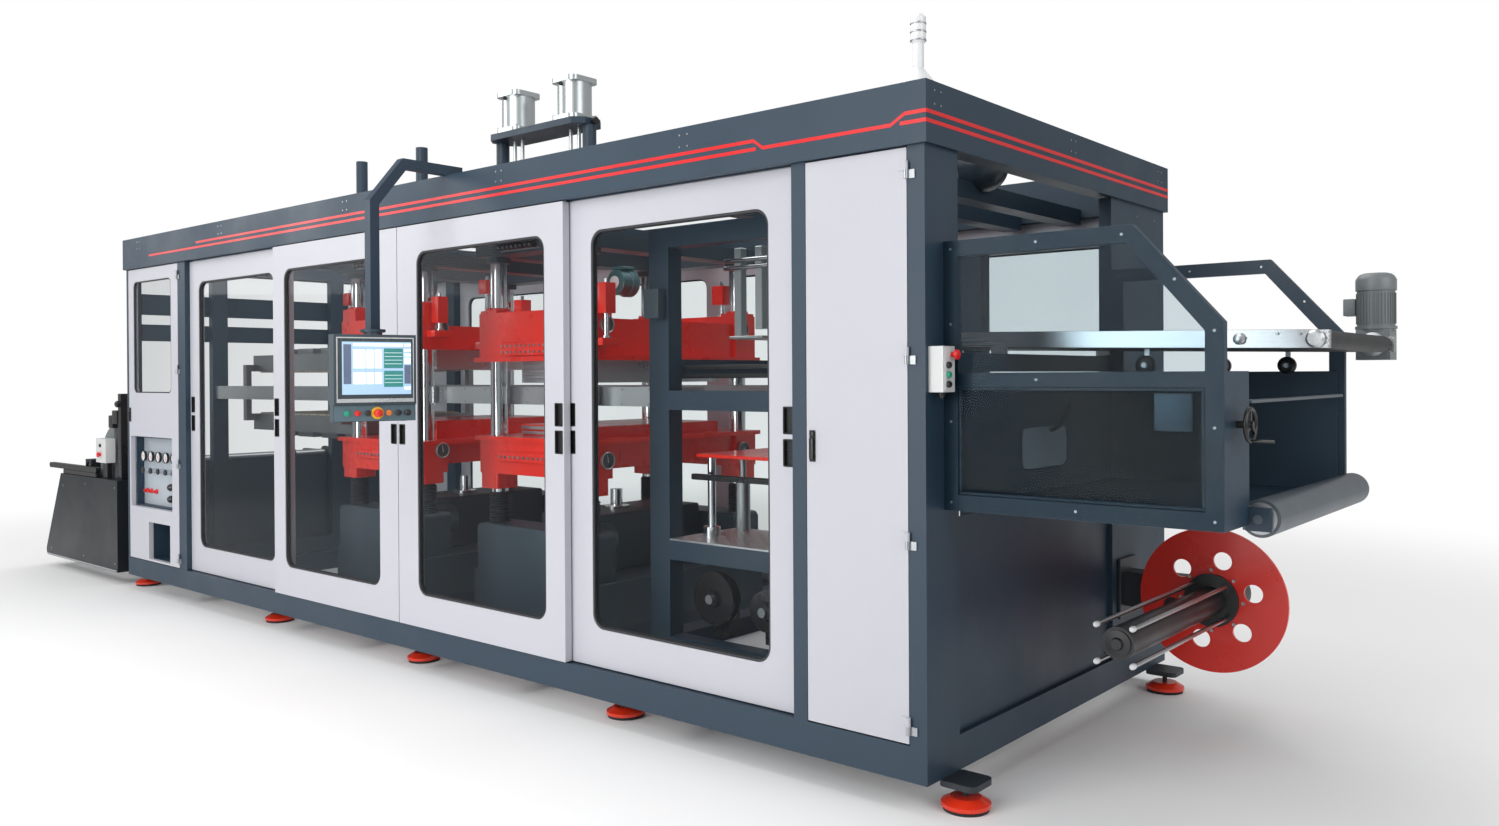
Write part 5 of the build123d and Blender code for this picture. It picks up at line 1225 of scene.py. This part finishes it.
def column_collars():
    """Collars with screws on every column boss of the upper platens, and nuts under the crosshead."""
    profile = [(COLUMN_BORE, 0), (0.068, 0), (0.068, 0.012), (0.060, 0.016), (COLUMN_BORE, 0.016),
               (COLUMN_BORE, 0)]
    for number, (x, _, _, _, boss) in enumerate(PRESSES, 1):
        body = f"press_{number}_upper"
        collars = [turned(mid(x + dx, y, boss + 0.0003), UP, profile, 32) for dx, y in COLUMNS]
        screws = [(mid(x + dx + 0.061 * cos(pi / 3 * i), y + 0.061 * sin(pi / 3 * i), boss + 0.017), UP)
                  for dx, y in COLUMNS for i in range(6)]
        place(f"press_{number}_collars", body, "press_red", collars)
        set_heads(f"press_{number}_collar_screws", body, screws, 0.005, 0.006)
    nuts = [ring(mid(x + dx, y, 2.2478), DOWN, COLUMN_BORE, 0.070, 0.030, 0.034, 8)
            for x in PRESS_X for dx, y in COLUMNS]
    place("column_nuts", "machine", "press_slate", nuts)


def bed_drives():
    """Drive housings and motors on the beds between the pedestals, as far as they show."""
    housings, motors, spindles = [], [], []
    for x in PRESS_X:
        housings.append(block(mid(x - 0.20, -0.45, 0.4805), mid(x + 0.20, 0.45, 0.800), 0.02, 3))
        housings.append(block(mid(x - 0.11, -0.66, 0.4805), mid(x + 0.11, -0.47, 0.640), 0.01, 2))
        motors.append(turned(mid(x + 0.19, -0.30, 0.660), FRONT, [
            (0, 0), (0.095, 0), (0.100, 0.008), (0.100, 0.150), (0.088, 0.165), (0.088, 0.20), (0, 0.20)]))
        spindles.append(turned(mid(x, -0.05, 0.8005), UP, [
            (0, 0), (0.075, 0), (0.075, 0.016), (0.035, 0.020), (0.035, 0.112), (0, 0.112)]))
    place("bed_drives", "machine", "press_slate", housings)
    place("bed_motors", "machine", "cabinet_paint", motors, servo_teal)
    place("bed_spindles", "machine", "column_chrome", spindles)


def valve_bank():
    """Valve islands on the crosshead, with rows of push-in fittings."""
    rails, valves, fittings = [], [], []
    for x in PRESS_X:
        rails.append(block(mid(x - 0.22, -0.705, 2.262), mid(x + 0.12, -0.7005, 2.325), 0.002))
        for x0 in [x - 0.205 + 0.038 * i for i in range(8)]:
            valves.append(block(mid(x0, -0.742, 2.268), mid(x0 + 0.030, -0.7055, 2.318), 0.003))
            fittings += [(mid(x0 + 0.015, -0.7445, z), FRONT) for z in (2.305, 2.280)]
    place("valve_rails", "machine", "rail_aluminium", rails)
    place("valves", "machine", "wheel_black", valves)
    set_heads("valve_fittings", "machine", fittings, 0.006, 0.010, 12)


guide_blocks()
servo_motors()
side_plates()
column_collars()
bed_drives()
valve_bank()

# %% [markdown]
# ## Heater station
# The heater banks show rows of ceramic elements towards the film, and wiring boxes on their
# backs. The elements are one tile repeated over the bank.

# %% Heaters
ELEMENT_CORNERS = ((-0.052, -0.055), (0.052, -0.055), (0.052, 0.055), (-0.052, 0.055))


def heater_station():
    elements = []
    for x in [MIDDLE.x - 2.80 + i * 0.122 for i in range(11)]:
        for y in [MIDDLE.y - 0.375 + j * 0.125 for j in range(7)]:
            corners = [(x + dx, y + dy) for dx, dy in ELEMENT_CORNERS]
            for z, aim in ((1.625, -1), (1.305, 1)):
                elements.append(plate([(p, q, z) for p, q in corners], (0, 0, aim * 0.009)))
    boxes = [block(mid(x, -0.36, z0), mid(x + 0.22, 0.36, z1), 0.006, 2)
             for x in (-2.75, -2.42, -2.09, -1.76) for z0, z1 in ((1.7455, 1.790), (1.140, 1.1845))]
    ceramic = finish("heater ceramic", (0.50, 0.44, 0.36), roughness=0.6, drift=0.15, cloud=8.0)
    place("heater_elements", "machine", "beacon_plastic", elements, ceramic)
    place("heater_boxes", "machine", "heater_steel", boxes)


heater_station()

# %% [markdown]
# ## Stacking station
# Between the cutting press and the end stand aluminium uprights joined by chrome bars, a chrome
# lifting head, black guide beams, small boxes on the posts and the red plate of the stacker.

# %% Stacking
DECK_Z = 0.7985
HEAD_ROWS = (-0.48, 0.15)


def stacking():
    uprights = [block(mid(x - 0.022, y - 0.022, z0), mid(x + 0.022, y + 0.022, 2.182), 0.003)
                for x, z0 in ((2.03, 1.760), (2.16, 1.790), (2.40, 1.790)) for y in HEAD_ROWS]
    bars = [disc(mid(1.96, y - 0.034, z), RIGHT, 0.011, 0.50, 18) for y in HEAD_ROWS for z in (2.085, 2.120)]
    uprights.append(block(mid(1.99, -0.52, 1.745), mid(2.20, 0.19, 1.7595), 0.003))
    bars.append(turned(mid(2.095, -0.20, 1.665), UP, [(0, 0), (0.052, 0), (0.058, 0.006), (0.058, 0.030),
                                                      (0.034, 0.040), (0.034, 0.0795), (0, 0.0795)]))
    beams = [block(mid(1.81, -0.655, z), mid(2.56, -0.635, z + 0.022), 0.003) for z in (1.600, 1.560)]
    for x in (1.90, 2.44):
        for y in (-0.55, 0.43):
            bars.append(disc(mid(x, y, DECK_Z), UP, 0.020, 0.381, 18))
            bars.append(ring(mid(x, y, DECK_Z - 0.0002), UP, 0.0205, 0.042, 0.045, 0.048, 24))
    beams.append(block(mid(1.86, -0.655, 1.075), mid(2.52, -0.627, 1.103), 0.004))
    uprights.append(turned(mid(1.885, -0.30, DECK_Z), UP, [(0, 0), (0.036, 0), (0.036, 0.26), (0.016, 0.264),
                                                           (0.016, 0.381), (0, 0.381)], 24))
    place("stacker_uprights", "machine", "cylinder_aluminium", uprights)
    place("stacker_bars", "machine", "column_chrome", bars)
    place("stacker_beams", "machine", "wheel_black", beams)
    place("stacker_plate", "machine", "press_red",
          [block(mid(1.86, -0.62, 1.180), mid(2.48, 0.50, 1.196), 0.004)])
    place("post_boxes", "machine", "screen_paint", [
        block(mid(1.690, -0.7999, 1.845), mid(1.790, -0.7455, 1.985), 0.006, 2),
        block(mid(2.555, -0.815, 1.20), mid(2.655, -0.7455, 1.34), 0.006, 2)])
    place("post_coupler", "machine", "box_plastic",
          [block(mid(2.595, -0.790, 1.36), mid(2.680, -0.7455, 1.405), 0.004, 2)],
          finish("yellow plastic", (0.72, 0.42, 0.03), roughness=0.35, drift=0.06, relief=0.03))
    wheels, hubs = [], []
    for x, z, r in ((2.00, 0.52, 0.125), (2.32, 0.50, 0.095)):
        wheels.append(turned(mid(x, -0.60, z), FRONT, [
            (0, 0), (r, 0), (r, 0.012), (r - 0.012, 0.014), (r - 0.012, 0.040), (r, 0.042), (r, 0.055),
            (0.045, 0.055), (0.040, 0.075), (0, 0.075)], 32))
        wheels.append(block(mid(x - 0.05, -0.599, 0.3325), mid(x + 0.05, -0.52, z), 0.006, 2))
        hubs.append(disc(mid(x, -0.6755, z), FRONT, 0.022, 0.012, 20))
    place("stack_drive_wheels", "machine", "wheel_black", wheels)
    place("stack_drive_hubs", "machine", "hinge_steel", hubs)


stacking()

# %% [markdown]
# ## Roof
# Each roof cylinder is bolted through the corners of its lower flange. Light section frames lie on
# the roof, and a knob closes the end of the platform. Two straps hold the air tank.

# %% Roof details
CYLINDER_X = (-0.256, 0.288)


def roof_details():
    nuts = [(mid(x + dx, y, 3.164), UP) for x in CYLINDER_X for dx in (-0.090, 0.090) for y in (-0.090, 0.090)]
    set_heads("flange_nuts", "machine", nuts, 0.009, 0.010)
    frames = [block(mid(1.02, y, 2.6105), mid(2.05, y + 0.045, 2.655), 0.004) for y in (-0.82, -0.30)]
    frames += [block(mid(x, -0.774, 2.6105), mid(x + 0.045, -0.301, 2.655), 0.004)
               for x in (1.02, 1.50, 2.005)]
    place("roof_frames", "machine", "rail_aluminium", frames)
    knobs = [turned(mid(0.4505, 0.0, 3.110), RIGHT, [(0, 0), (0.012, 0), (0.012, 0.014), (0.022, 0.018),
                                                     (0.022, 0.034), (0, 0.038)], 20)]
    knobs += [turned(mid(x, -0.1045, 3.345), FRONT, [(0, 0), (0.012, 0), (0.012, 0.012), (0.007, 0.014),
                                                     (0.007, 0.022), (0, 0.022)], 14) for x in CYLINDER_X]
    place("platform_knob", "machine", "wheel_black", knobs)
    profile = [(0.0282, 0), (0.0296, 0.002), (0.0296, 0.005), (0.0282, 0.007), (0.0282, 0)]
    place("lamp_rings", "machine", "rod_steel",
          [turned(mid(3.405, -1.090, z), UP, profile, 32) for z in (2.768, 2.798, 2.828)], zinc)
    place("tank_straps", "machine", "rod_steel",
          [ring(mid(x, 0, 2.515), RIGHT, 0.1253, 0.129, 0.030, 0.030, 40) for x in (2.68, 2.98)], zinc)


roof_details()

# %% [markdown]
# ## Film unwinder
# Round-ended arms lie along the side boxes. By the housing stand a grey quarter-round cover, a
# pale box with a red button, and a post with black clamps. The far box has the arm, the cover and
# the post too, because the shaft is held alike at both ends.

# %% Unwinder details
BOX_TOP = 0.7975
COVER_X = -3.985


def unwinder_details():
    black, covers = [], []
    quarter = [(COVER_X, BOX_TOP)] + [(COVER_X - 0.290 * sin(a * pi / 24), BOX_TOP + 0.410 * cos(a * pi / 24))
                                      for a in range(13)]
    arm = rounded(mid(-5.110, 0, 0).x, mid(-4.100, 0, 0).x, 0.835, 0.877, 0.0205)
    for side in (-1, 1):
        black.append(plate([(x, MIDDLE.y + side * 1.1265 - 0.0175, z) for x, z in arm], (0, 0.035, 0)))
        black.append(block(mid(-4.800, side * 1.109, BOX_TOP), mid(-4.110, side * 1.144, 0.8345), 0.004))
        covers.append(plate([mid(x, side * 1.010 - 0.040, z) for x, z in quarter], (0, 0.080, 0)))
        black.append(block(mid(-3.800, side * 1.065 - 0.028, BOX_TOP),
                           mid(-3.740, side * 1.065 + 0.028, 1.460), 0.005, 2))
    black += [
        block(mid(-3.900, -1.100, 1.225), mid(-3.8003, -1.045, 1.330), 0.008, 2),
        block(mid(COVER_X, -1.095, 1.190), mid(-3.9003, -1.050, 1.290), 0.012, 2),
        domed(mid(-3.770, -1.0935, 1.38), FRONT, 0.026, 0.020, 0.014, 0.030, 18),
        block(mid(-4.040, -1.115, BOX_TOP), mid(-3.960, -1.075, 0.9195), 0.004),
        turned(mid(-4.000, -1.1463, 1.055), FRONT, [(0, 0), (0.013, 0), (0.013, 0.010), (0, 0.012)], 18)]
    place("unwinder_arms", "machine", "wheel_black", black)
    place("unwinder_covers", "machine", "motor_grey", covers)
    place("unwinder_box", "machine", "box_plastic",
          [block(mid(-4.095, -1.146, 0.920), mid(-3.905, -1.072, 1.110), 0.008, 2)])
    place("unwinder_button", "machine", "disc_red", [
        turned(mid(-4.000, -1.1463, 0.985), FRONT, [(0, 0), (0.012, 0), (0.012, 0.012), (0.020, 0.015),
                                                    (0.020, 0.023), (0, 0.028)], 20)], stripe_red)
    strips = [block(mid(-5.150, side * 1.1495, 0.098), mid(-3.690, side * 1.1545, 0.112), 0.001)
              for side in (-1, 1)]
    place("unwinder_strips", "machine", "hinge_steel", strips)
    spots = ((-5.05, 0.16), (-4.35, 0.16), (-3.72, 0.16), (-4.78, 0.70), (-4.30, 0.74), (-3.72, 0.74))
    screws = [(mid(x, y, z), aim) for x, z in spots for y, aim in ((-1.151, FRONT), (1.151, BACK))]
    set_heads("unwinder_screws", "machine", screws, 0.007, 0.005)
    collars = [ring(mid(-4.365, side * y, 0.870), FRONT, 0.0403, 0.066, 0.026, 0.028, 32)
               for side in (-1, 1) for y in (0.62, 0.95)]
    place("shaft_collars", "machine", "wheel_black", collars)


unwinder_details()
